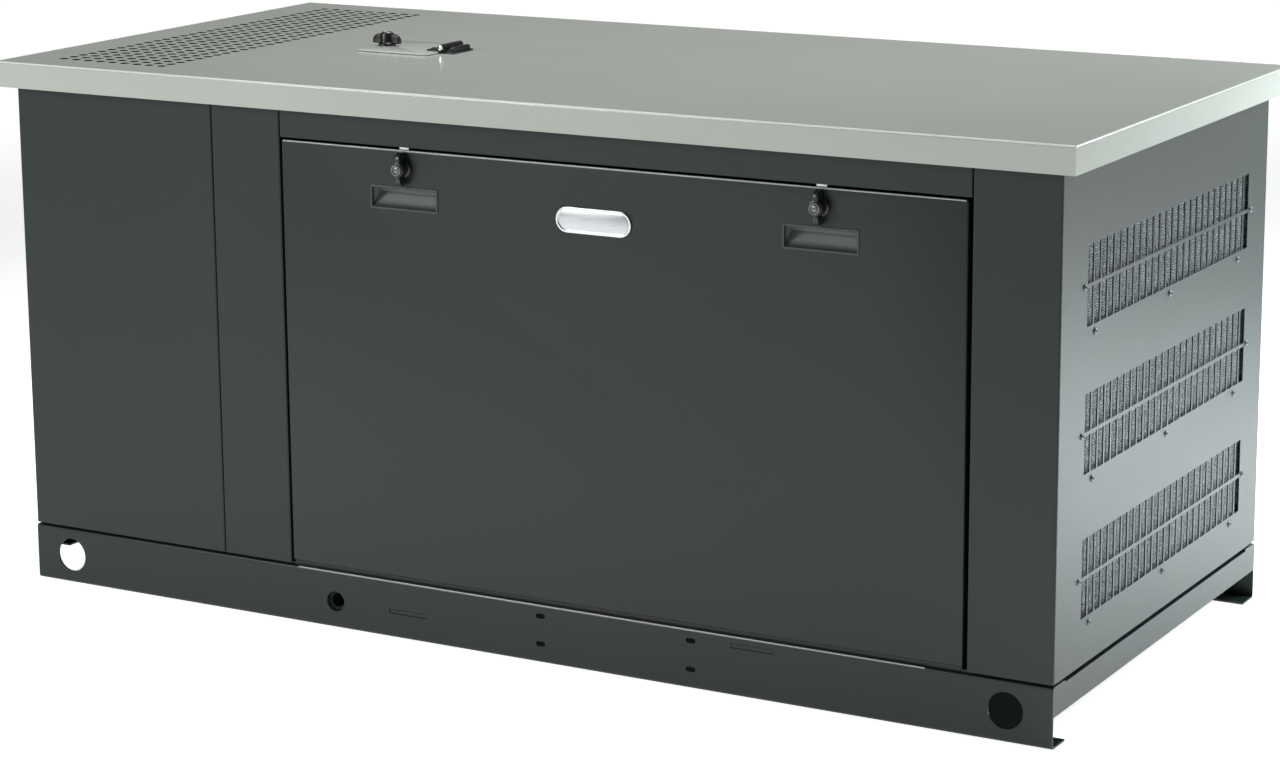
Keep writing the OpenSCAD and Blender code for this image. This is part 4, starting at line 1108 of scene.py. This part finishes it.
# %% Hexagon bolt and hose clamp
def hex_bolt(at, towards, size=0.013):
    half = size / 1.732
    washer = turned([(size * 0.82, 0), (size * 0.82, 0.0016), (size * 0.78, 0.0020)], at, towards, 20)
    head = turned([(half, 0.0018), (half, 0.0075), (half * 0.86, 0.0088)], at, towards, 6)
    return joined(washer, head)


def hose_clamp(at, towards, radius):
    band = turned([(radius, 0), (radius + 0.0012, 0.0004), (radius + 0.0012, 0.0086),
                   (radius, 0.0090)], at, towards, 36, ring=True)
    up = Vector((0, 0, 1)) if abs(Vector(towards).z) < 0.5 else Vector((0, -1, 0))
    middle = Vector(at) + Vector(towards) * 0.0045
    worm = turned([(0.0042, -0.011), (0.0046, -0.010), (0.0046, 0.007), (0.0062, 0.0075),
                   (0.0062, 0.0125), (0.0055, 0.0130)], middle + up * (radius + 0.0048),
                  Vector(towards).cross(up), 12)
    return joined(band, worm)


print("ready: hex_bolt, hose_clamp")


# %% [markdown]
# ## Coolant hoses
# Two thick rubber hoses join the radiator to the engine. A hose is a pipe with wide bends. Worm
# clamps hold both hoses at the radiator, and the lower one also at the engine's pump.

# %% Hoses and clamps
HOSE_R, RUN_X, RETURN_Z, PUMP_Y, PUMP_Z = 0.021, -0.324, 0.500, -0.046, 0.470
hose_low, hose_high = corners("coolant_hoses")
upper_y, lower_y = hose_high.y - HOSE_R, hose_low.y + HOSE_R
upper_z, lower_z = hose_high.z - HOSE_R, hose_low.z + HOSE_R
upper_hose = pipe([(hose_low.x, upper_y, upper_z), (RUN_X, upper_y, upper_z),
                   (RUN_X, upper_y, RETURN_Z), (hose_high.x, upper_y, RETURN_Z)], HOSE_R, 0.024)
lower_hose = pipe([(hose_low.x, lower_y, lower_z), (RUN_X, lower_y, lower_z),
                   (RUN_X, lower_y, PUMP_Z), (RUN_X, PUMP_Y, PUMP_Z)], HOSE_R, 0.045)
done(joined(upper_hose, lower_hose), "rubber_hoses", "enclosure", rubber,
     ["coolant_hoses"])
clamps = [hose_clamp((hose_low.x + 0.008, y, z), (1, 0, 0), HOSE_R)
          for y, z in ((upper_y, upper_z), (lower_y, lower_z))]
clamps += [hose_clamp((RUN_X, PUMP_Y - 0.026, PUMP_Z), (0, 1, 0), HOSE_R)]
done(joined(*clamps), "hose_clamps", "enclosure", zinc)

# %% [markdown]
# ## The radiator cap
# The cap is pressed from sheet: a dome, a skirt with two ears, and a raised grip across the top.

# %% Pressed cap
cap_low, cap_high = corners("radiator_cap")
cap_at = Vector(((cap_low.x + cap_high.x) / 2, (cap_low.y + cap_high.y) / 2, cap_low.z))
CAP_R = 0.026
cap = turned([(0.0225, 0.0120), (0.0225, 0), (CAP_R, 0), (CAP_R, 0.0110), (CAP_R - 0.002, 0.0140),
              (0.020, 0.0156), (0.016, 0.0160), (0.013, 0.0150)], cap_at, sides=40)
ears = []
for side in (-1, 1):
    ear = block((cap_at.x + side * CAP_R - 0.006, -0.008, cap_at.z + 0.001),
                (cap_at.x + side * (CAP_R - 0.001) + 0.0055, 0.008, cap_at.z + 0.013))
    ears.append(rounded(ear, 0.003, 3))
grip = rounded(block(cap_at + Vector((-0.0045, -0.019, 0.013)),
                     cap_at + Vector((0.0045, 0.019, 0.0205))), 0.002, 3)
done(joined(cap, grip, *ears), "pressed_cap", "radiator_cap", zinc, ["radiator_cap"])

# %% [markdown]
# ## The cooling fan
# Each blade starts as a thin slab that is subdivided along its width, curved by lifting its middle,
# set at an angle and rounded. Six copies stand round a turned hub.

# %% Curved blades on a hub
fan_low, fan_high = corners("cooling_fan")
fan_centre = Vector(((fan_low.x + fan_high.x) / 2, (fan_low.y + fan_high.y) / 2,
                     (fan_low.z + fan_high.z) / 2))
FAN_R, HUB_R, BLADES = (fan_high.z - fan_low.z) / 2 - 0.002, 0.058, 6
hub_back, hub_front = fan_low.x + 0.001, corners("fan_pulley")[0].x
blade = block((-0.0013, -0.038, HUB_R - 0.006), (0.0013, 0.038, FAN_R))
pick(blade, "EDGE", lambda middle, way: abs(way.y) > 0.9)
bpy.ops.mesh.subdivide(number_cuts=7)
for reach, lift in ((0.030, 0.003), (0.020, 0.003), (0.008, 0.002)):
    pick(blade, "VERT", lambda at, normal: abs(at.y) < reach)
    bpy.ops.transform.translate(value=(lift, 0, 0))
pick(blade, "EDGE", lambda middle, way: abs(way.x) > 0.9 and abs(middle.y) > 0.035
     and middle.z > FAN_R - 0.01)
bpy.ops.mesh.bevel(offset=0.016, segments=5, affect="EDGES")
take(blade)
blade.matrix_world = (Matrix.Translation((fan_centre.x - 0.003, fan_centre.y, fan_centre.z))
                      @ Matrix.Rotation(math.radians(26), 4, "Z"))
blades = ring_of(settled(blade), BLADES, fan_centre)
hub_l = hub_front - hub_back
hub = turned([(0.030, 0), (HUB_R - 0.006, 0), (HUB_R, 0.004), (HUB_R, hub_l - 0.012),
              (HUB_R - 0.010, hub_l - 0.006), (0.034, hub_l - 0.005), (0.034, hub_l)],
             (hub_back, fan_centre.y, fan_centre.z), (1, 0, 0), 48)
bolts = ring_of(hex_bolt((hub_back + 0.0002, fan_centre.y, fan_centre.z + 0.020), (-1, 0, 0), 0.010),
                4, fan_centre)
done(joined(hub, blades, bolts), "fan_wheel", "fan", moulded, ["cooling_fan"])

# %% [markdown]
# ## The valve cover
# A cast cover sits on the head. It has round shoulders, cooling ribs across its top, a flange with
# a row of bolts, and the oil filler cap.

# %% Cover, ribs, bolts and cap
cover_low, cover_high = corners("valve_cover")
flange_h, top_z, FILLER_X = 0.012, 0.602, 0.090
flange = rounded(block(cover_low, (cover_high.x, cover_high.y, cover_low.z + flange_h)), 0.003, 3)
edge = Vector((0.010, 0.010, 0))
hood = block(cover_low + edge, Vector((cover_high.x, cover_high.y, top_z)) - edge)
pick(hood, "EDGE", lambda middle, way: abs(way.z) > 0.9)
bpy.ops.mesh.bevel(offset=0.020, segments=6, affect="EDGES")
pick(hood, "EDGE", lambda middle, way: middle.z > top_z - 0.001)
bpy.ops.mesh.bevel(offset=0.014, segments=5, affect="EDGES")
ribs = []
for i in range(13):
    x = cover_low.x + 0.040 + i * 0.022
    ribs.append(rounded(block((x, cover_low.y + 0.022, top_z - 0.002),
                              (x + 0.006, cover_high.y - 0.022, top_z + 0.004)), 0.0015))
cover_bolts = [hex_bolt((cover_low.x + 0.022 + i * 0.0965, side * (cover_high.y - 0.0075),
                         cover_low.z + flange_h), UPWARDS, 0.010)
               for i in range(5) for side in (-1, 1)]
done(joined(flange, hood, *ribs), "rocker_cover", "enclosure", satin_black,
     ["valve_cover"])
done(joined(*cover_bolts), "rocker_cover_bolts", "enclosure", zinc)
oil_cap = turned([(0.017, 0), (0.017, 0.005), (0.020, 0.006), (0.020, 0.013), (0.018, 0.0155),
                  (0.010, 0.0160)], (FILLER_X, 0, top_z), sides=36)
lug = rounded(block((FILLER_X - 0.016, -0.004, top_z + 0.012),
                    (FILLER_X + 0.016, 0.004, top_z + 0.016)), 0.0014)
done(joined(oil_cap, lug), "oil_filler_cap", "enclosure", yellow)

# %% [markdown]
# ## The air cleaner
# The canister and its snout are one turned profile, and a steel band goes round it. A stepped duct
# leads down to the intake log, a round bar with tapered ends that lies along the head.

# %% Canister, duct and log
air_low, air_high = corners("air_cleaner")
CAN_R, CAN_X, CAN_Y, LOG_HEIGHT = 0.072, -0.190, 0.150, 0.490
ELBOW_X, ELBOW_BAND_Z = -0.070, 0.655
can_z = air_high.z - 0.076
profile = [(CAN_R - 0.014, 0), (CAN_R - 0.004, 0.004), (CAN_R, 0.010), (CAN_R, 0.040),
           (CAN_R - 0.003, 0.043), (CAN_R - 0.003, 0.049), (CAN_R, 0.052), (CAN_R, 0.100),
           (CAN_R - 0.003, 0.103), (CAN_R - 0.003, 0.109), (CAN_R, 0.112), (CAN_R, 0.228),
           (CAN_R + 0.003, 0.230), (CAN_R + 0.003, 0.246), (CAN_R, 0.248), (CAN_R, 0.286),
           (CAN_R - 0.006, 0.296), (0.034, 0.300), (0.030, 0.304), (0.030, 0.340), (0.026, 0.340),
           (0.026, 0.320)]
can = turned(profile, (CAN_X, CAN_Y, can_z), (1, 0, 0), 56)
log = turned([(0.022, 0), (0.030, 0.006), (0.030, 0.374), (0.022, 0.380)],
             (air_low.x, CAN_Y, LOG_HEIGHT), (1, 0, 0), 36)
elbow = turned([(0.032, 0), (0.032, 0.012), (0.027, 0.013), (0.027, 0.150), (0.030, 0.152),
                (0.030, 0.164), (0.027, 0.166), (0.027, 0.200)],
               (ELBOW_X, CAN_Y, LOG_HEIGHT + 0.022))
done(joined(can, log, elbow), "air_cleaner_can", "enclosure", moulded,
     ["air_cleaner"])
bands = [turned([(CAN_R + 0.0032, 0), (CAN_R + 0.0042, 0.0005), (CAN_R + 0.0042, 0.0115),
                 (CAN_R + 0.0032, 0.012)], (CAN_X + 0.232, CAN_Y, can_z), (1, 0, 0), 56, ring=True),
         hose_clamp((ELBOW_X, CAN_Y, ELBOW_BAND_Z), UPWARDS, 0.0275)]
done(joined(*bands), "air_cleaner_bands", "enclosure", zinc)

# %% [markdown]
# ## The exhaust manifold
# Four short runners with bolted flanges meet in a log, and a bent pipe leads to the bulkhead.

# %% Log, runners and down pipe
exhaust_low, exhaust_high = corners("exhaust_manifold")
LOG_Y, LOG_Z, LOG_R, PIPE_R = -0.150, 0.500, 0.027, 0.024
pipe_y, pipe_z = exhaust_low.y + 0.042, exhaust_high.z - 0.042
log = turned([(LOG_R - 0.006, 0), (LOG_R, 0.006), (LOG_R, 0.369), (LOG_R - 0.006, 0.375)],
             (-0.255, LOG_Y, LOG_Z), (1, 0, 0), 36)
runners = []
for i in range(4):
    x = -0.230 + i * 0.105
    runners.append(turned([(0.019, 0), (0.018, 0.030), (0.019, 0.046)], (x, LOG_Y, LOG_Z), (0, 1, 0)))
    plate = rounded(block((x - 0.034, -0.1045, LOG_Z - 0.022), (x + 0.034, -0.0955, LOG_Z + 0.022)),
                    0.003, 3)
    runners += [plate] + [hex_bolt((x + side * 0.026, -0.1045, LOG_Z), OUT, 0.011)
                          for side in (-1, 1)]
down = pipe([(-0.200, LOG_Y, LOG_Z), (-0.200, pipe_y, LOG_Z), (-0.200, pipe_y, pipe_z),
             (-0.301, pipe_y, pipe_z)], PIPE_R, 0.028)
collar = turned([(0.040, 0), (0.042, 0.001), (0.042, 0.008), (0.040, 0.009)],
                (exhaust_low.x, pipe_y, pipe_z), (1, 0, 0), 36)
done(joined(log, down, collar, *runners), "exhaust_log", "enclosure", hot_iron,
     ["exhaust_manifold"])

# %% [markdown]
# ## Round the block
# The oil filter, the starter with its solenoid and the dipstick stand on the door side of the
# engine. All are turned pieces or pipes. A row of bolts closes the bell housing.

# %% Filter, starter, dipstick and bell bolts
bell_low, bell_high = corners("flywheel_housing")
CRANK_Z = (bell_low.z + bell_high.z) / 2
filter_can = turned([(0.030, 0), (0.030, 0.014), (0.038, 0.016), (0.038, 0.020), (0.036, 0.022),
                     (0.036, 0.082), (0.034, 0.090), (0.026, 0.096), (0.016, 0.096), (0.014, 0.092)],
                    (0.060, -0.130, 0.300), OUT, 40)
done(filter_can, "oil_filter", "enclosure", satin_black)
starter = turned([(0.022, 0), (0.036, 0.004), (0.038, 0.010), (0.038, 0.112), (0.041, 0.114),
                  (0.041, 0.126), (0.034, 0.130), (0.030, 0.145)],
                 (0.020, -0.172, 0.215), (1, 0, 0), 40)
solenoid = turned([(0.018, 0), (0.022, 0.003), (0.022, 0.078), (0.024, 0.080), (0.024, 0.088)],
                  (0.050, -0.198, 0.268), (1, 0, 0), 32)
posts = [turned([(0.004, 0), (0.004, 0.012), (0.007, 0.012), (0.007, 0.017), (0.004, 0.0175),
                 (0.004, 0.024)], (0.051, -0.198 + side * 0.010, 0.268), (-1, 0, 0), 16)
         for side in (-1, 1)]
done(joined(starter, solenoid), "starter_motor", "enclosure", satin_black)
done(joined(*posts), "starter_posts", "enclosure", zinc)
dip_tube = pipe([(0.118, -0.122, 0.236), (0.118, -0.150, 0.300), (0.118, -0.150, 0.560)], 0.005, 0.02)
done(dip_tube, "dipstick_tube", "enclosure", zinc)
dip_ring = turned([(0.010, -0.003), (0.016, -0.003), (0.016, 0.003), (0.010, 0.003)],
                  (0.118, -0.150, 0.578), OUT, 28, ring=True)
dip_stem = turned([(0.0065, 0), (0.0065, 0.010), (0.004, 0.013)], (0.118, -0.150, 0.5555))
done(rounded(joined(dip_ring, dip_stem), 0.0010), "dipstick_ring", "enclosure",
     yellow)
bell_bolt = hex_bolt((bell_high.x - 0.010, 0, CRANK_Z + 0.191), (-1, 0, 0), 0.012)
done(ring_of(bell_bolt, 14, (0, 0, CRANK_Z)), "bell_bolts", "enclosure", zinc)

# %% [markdown]
# ## The alternator's shell
# The frame casting has raised ribs along its barrel and a screwed lid on the terminal box. The ribs
# are copies of one bar, turned round the shaft. They leave out the top, where the box stands, and
# the bottom, where the casting rests.

# %% Ribs and lid
shell_low, shell_high = corners("alternator")
SHELL_R = 0.175
rib = block((shell_low.x + 0.030, -0.004, CRANK_Z + SHELL_R - 0.002),
            (shell_high.x - 0.050, 0.004, CRANK_Z + SHELL_R + 0.008))
rib = rounded(rib, 0.0025, 3)
ribs, RIB_STEP = [], 12
for degrees in range(0, 360, RIB_STEP):
    if 30 <= degrees <= 144 or 216 <= degrees <= 330:
        ribs.append(copied(rib))
        turn = Matrix.Rotation(math.radians(degrees), 4, "X")
        ribs[-1].matrix_world = (Matrix.Translation((0, 0, CRANK_Z)) @ turn
                                 @ Matrix.Translation((0, 0, -CRANK_Z)))
        settled(ribs[-1])
take(rib)
bpy.ops.object.delete()
done(joined(*ribs), "alternator_ribs", "enclosure", frame_paint)
lid = rounded(block((0.374, -0.096, 0.519), (0.606, 0.096, 0.531)), 0.004, 3)
lid_rim = rounded(block((0.390, -0.080, 0.530), (0.590, 0.080, 0.534)), 0.0015, 2)
done(joined(lid, lid_rim), "terminal_box_lid", "enclosure", frame_paint)
lid_screws = [button_head((x, y, 0.531), UPWARDS) for x in (0.382, 0.598) for y in (-0.088, 0.088)]
done(joined(*lid_screws), "terminal_box_screws", "enclosure", zinc)

# %% [markdown]
# ## Rubber mounts
# Each mount is a waisted rubber between two steel plates. They keep the shake of the engine out of
# the frame. One profile is turned at each place that the frame gives.

# %% Mounts under engine and alternator
MOUNT_R = 0.029
rubbers, plates = [], []
for low, high in solids("vibration_mounts", 0.075):
    at, tall = ((low.x + high.x) / 2, (low.y + high.y) / 2, low.z), high.z - low.z
    rubbers.append(turned([(MOUNT_R - 0.002, 0.002), (MOUNT_R, 0.006), (0.023, tall * 0.5),
                           (MOUNT_R, tall - 0.006), (MOUNT_R - 0.002, tall - 0.002)], at, sides=36))
    for height in (0, tall - 0.0025):
        plates.append(turned([(MOUNT_R, height), (MOUNT_R, height + 0.0025)], at, sides=36))
done(joined(*rubbers), "mount_rubbers", "enclosure", rubber, ["vibration_mounts"])
done(rounded(joined(*plates), 0.0005), "mount_plates", "enclosure", zinc)

# %% [markdown]
# ## The gas regulator
# Two cast halves with a bolted rim hold a diaphragm. Black iron pipe leads down to the socket
# behind the hole in the front rail.

# %% Regulator and pipe
REGULATOR = (-0.231, -0.345)
body = turned([(0.018, 0.170), (0.030, 0.172), (0.038, 0.180), (0.040, 0.190), (0.0445, 0.191),
               (0.045, 0.193), (0.045, 0.207), (0.0445, 0.209), (0.037, 0.210), (0.030, 0.222),
               (0.018, 0.226), (0.016, 0.235), (0.010, 0.2355)], (*REGULATOR, 0), sides=48)
rim_bolts = ring_of(hex_bolt((REGULATOR[0] + 0.040, REGULATOR[1], 0.209), UPWARDS, 0.007), 8,
                    (*REGULATOR, 0.2), "Z")
done(joined(body, rim_bolts), "regulator_body", "enclosure", cast_alloy,
     ["fuel_regulator"])
GAS_X, GAS_Z, FEED_Z, socket_y = -0.321, 0.0445, 0.200, corners("fuel_regulator")[0].y
feed = pipe([(-0.262, REGULATOR[1], FEED_Z), (GAS_X, REGULATOR[1], FEED_Z),
             (GAS_X, REGULATOR[1], GAS_Z), (GAS_X, socket_y + 0.036, GAS_Z)], 0.013, 0.018)
union = turned([(0.019, 0), (0.021, 0.002), (0.021, 0.020), (0.019, 0.022)],
               (-0.288, REGULATOR[1], FEED_Z), (1, 0, 0), 6)
socket = turned([(0.0122, 0), (0.0150, 0), (0.0160, 0.0015), (0.0160, 0.038), (0.0150, 0.040),
                 (0.0122, 0.040)], (GAS_X, socket_y, GAS_Z), (0, 1, 0), 32, ring=True)
bracket = rounded(block((-0.246, -0.3145, corners("floor_pan")[1].z), (-0.216, -0.309, 0.208)),
                  0.0015)
done(joined(feed, union, socket, bracket), "gas_pipe", "enclosure", black_iron)

# %% [markdown]
# ## The control box
# A sheet box with round edges stands on two legs and faces the door. Its front has louvres and two
# bores for the shafts of the buttons, which move on their own.

# %% Box, legs and louvres
box_low, box_high = corners("control_box")
face_y = box_low.y
shell = block((box_low.x, box_low.y, 0.540), box_high)
cut(shell, block((box_low.x + 0.002, box_low.y + 0.008, 0.542), box_high - Vector((0.002,) * 3)))
for node in ("start_button", "stop_button"):
    low, high = corners(node)
    shaft_r = 0.011 if node == "start_button" else 0.013
    middle = Vector(((low.x + high.x) / 2, face_y - 0.002, (low.z + high.z) / 2))
    cut(shell, turned([(shaft_r, 0), (shaft_r, 0.014)], middle, (0, 1, 0)))
legs = [rounded(block((x, -0.262, corners("floor_pan")[1].z), (x + 0.006, -0.206, 0.5405)), 0.0012)
        for x in (box_low.x, box_high.x - 0.006)]
louvres = [rounded(block((x, box_low.y + 0.001, 0.5485),
                         (x + 0.0035, box_low.y - 0.0018, 0.570)), 0.0012)
           for x in [0.372 + 0.009 * i for i in range(8)]]
done(joined(rounded(shell, 0.0020, 3, 60), *legs, *louvres), "control_shell", "enclosure",
     box_paint, ["control_box"])

# %% [markdown]
# ## The control panel
# The panel has a display behind a bezel, three lamps and a round service socket. A yellow collar
# lies under the stop button and a plain one under the start button. It has no lettering.

# %% Panel, display, lamps and collars
fascia = rounded(block((0.368, face_y - 0.0022, 0.632), (0.636, face_y + 0.0005, 0.768)), 0.0018, 3)
done(fascia, "control_fascia", "enclosure", satin_black)
bezel = block((0.388, face_y - 0.0062, 0.668), (0.508, face_y - 0.0015, 0.748))
pick(bezel, "FACE", lambda at, normal: normal.y < -0.9)
bpy.ops.mesh.inset(thickness=0.0085)
bpy.ops.mesh.extrude_region_move(TRANSFORM_OT_translate={"value": (0, 0.0028, 0)})
done(rounded(bezel, 0.0014, 3), "display_bezel", "enclosure", moulded)
glass = rounded(block((0.3962, face_y - 0.0042, 0.6762), (0.4998, face_y - 0.0024, 0.7398)), 0.0005)
done(glass, "display_glass", "enclosure", dark_glass)
LAMP = [(0.0070, 0), (0.0070, 0.0020), (0.0058, 0.0022), (0.0056, 0.0045), (0.0044, 0.0066),
        (0.0022, 0.0074)]
for i, (name, finish) in enumerate((("ready", green_cap), ("warning", amber), ("fault", red_cap))):
    lamp = turned(LAMP, (0.560 + 0.026 * i - 0.008, face_y - 0.002, 0.722), OUT, 28)
    done(lamp, name + "_lamp", "enclosure",
         finish)
service = turned([(0.0120, 0), (0.0125, 0.001), (0.0125, 0.004), (0.0105, 0.0055), (0.0060, 0.0055),
                  (0.0058, 0.0045)], (0.578, face_y - 0.002, 0.672), OUT, 32)
done(service, "service_socket", "enclosure", plated)
for node, collar_r, finish in (("start_button", 0.017, moulded), ("stop_button", 0.027, yellow)):
    low, high = corners(node)
    hole_r = 0.0113 if node == "start_button" else 0.0133
    collar = turned([(hole_r, 0), (hole_r, 0.003), (collar_r - 0.001, 0.003), (collar_r, 0.002),
                     (collar_r, 0)], ((low.x + high.x) / 2, face_y, (low.z + high.z) / 2), OUT, 40,
                    ring=True)
    done(collar, node.split("_")[0] + "_surround", "enclosure", finish)

# %% [markdown]
# ## Buttons, breaker and lever
# The stop button is a mushroom with a round crown, and the start button a low dome. Each is turned
# from the panel outwards, on its own body.

# %% Two buttons
low, high = corners("stop_button")
stop_at = ((low.x + high.x) / 2, high.y, (low.z + high.z) / 2)
depth = high.y - low.y
crown = turned([(0.0127, 0), (0.0127, depth - 0.012), (0.0175, depth - 0.011),
                (0.0195, depth - 0.008), (0.0198, depth - 0.005), (0.0180, depth - 0.002),
                (0.0130, depth - 0.0004), (0.0060, depth)], stop_at, OUT, 40)
done(crown, "stop_mushroom", "stop_button", red_cap, ["stop_button"])
low, high = corners("start_button")
start_at = ((low.x + high.x) / 2, high.y, (low.z + high.z) / 2)
depth = high.y - low.y
dome = turned([(0.0107, 0), (0.0107, depth - 0.0022), (0.0098, depth - 0.0008),
               (0.0070, depth - 0.0003), (0.0066, depth - 0.0011)], start_at, OUT, 36)
done(dome, "start_dome", "start_button", green_cap, ["start_button"])

# %% [markdown]
# ## The main breaker
# The case has a raised frame round the window of its lever, and a raised shoulder above and below.
# The lever is plain, so the frame's own part stays.

# %% Breaker case
low, high = corners("main_breaker")
breaker = rounded(block(low, high), 0.002, 3)
window_x, window_z = (low.x + high.x) / 2, (low.z + high.z) / 2
cut(breaker, block((window_x - 0.012, low.y - 0.002, window_z - 0.026),
                   (window_x + 0.012, high.y - 0.002, window_z + 0.026)))
frame_ring = block((window_x - 0.024, low.y - 0.0025, window_z - 0.040),
                   (window_x + 0.024, low.y + 0.001, window_z + 0.040))
cut(frame_ring, block((window_x - 0.012, low.y - 0.01, window_z - 0.026),
                      (window_x + 0.012, low.y + 0.01, window_z + 0.026)))
shoulders = [rounded(block((low.x + 0.004, low.y - 0.002, z0),
                           (high.x - 0.004, low.y + 0.001, z0 + 0.026)), 0.001)
             for z0 in (low.z + 0.004, high.z - 0.030)]
done(joined(breaker, rounded(frame_ring, 0.0008), *shoulders), "breaker_case", "enclosure",
     moulded, ["main_breaker"])

# %% [markdown]
# ## The battery
# The case has upright ribs, the lid has round edges and six vent caps in a row, and two lead posts
# with clamps stand at the front.

# %% Case, lid, vent caps and posts
low, high = corners("battery")
case_top = corners("floor_pan")[1].z + 0.185
lid_top = case_top + 0.012
case = block((low.x + 0.003, low.y + 0.003, low.z), (high.x - 0.003, high.y - 0.003, case_top))
case_ribs = [rounded(block((x, low.y + 0.0005, low.z + 0.020),
                           (x + 0.004, low.y + 0.004, case_top - 0.020)), 0.0008)
             for x in [low.x + 0.016 + 0.0146 * i for i in range(13)]]
battery_lid = rounded(block((low.x, low.y, case_top - 0.004), (high.x, high.y, lid_top)), 0.004, 3)
vent_y = (low.y + high.y) / 2 + 0.010
vents = [turned([(0.010, 0), (0.010, 0.003), (0.008, 0.0045), (0.003, 0.0045), (0.003, 0.0035)],
                (low.x + 0.030 + 0.0304 * i, vent_y, lid_top - 0.0003), sides=20)
         for i in range(6)]
done(joined(rounded(case, 0.005, 3), battery_lid, *case_ribs, *vents), "battery_case", "enclosure",
     moulded, ["battery"])
leads = []
for x in (low.x + 0.027, high.x - 0.027):
    leads.append(turned([(0.0090, 0), (0.0085, 0.0160), (0.0075, 0.0170)],
                        (x, low.y + 0.032, lid_top - 0.0003), sides=28))
    leads.append(rounded(block((x - 0.013, low.y + 0.020, lid_top + 0.002),
                               (x + 0.013, low.y + 0.046, lid_top + 0.011)), 0.003, 3))
done(joined(*leads), "battery_posts", "enclosure", zinc)

# %% [markdown]
# ## The battery's strap
# A flat bar lies across the lid. Two long rods and two nuts draw it down.

# %% Bar, rods and nuts
strap_y = low.y + 0.145
strap = rounded(block((low.x - 0.004, strap_y, lid_top),
                      (high.x + 0.004, strap_y + 0.022, lid_top + 0.003)), 0.0010)
rod_places = (low.x - 0.001, high.x + 0.001)
rods = [turned([(0.003, 0), (0.003, lid_top - low.z + 0.012)], (x, strap_y + 0.011, low.z), sides=12)
        for x in rod_places]
nuts = [hex_bolt((x, strap_y + 0.011, lid_top + 0.003), UPWARDS, 0.009) for x in rod_places]
done(joined(strap, *rods, *nuts), "battery_strap", "enclosure", black_cast)

# %% [markdown]
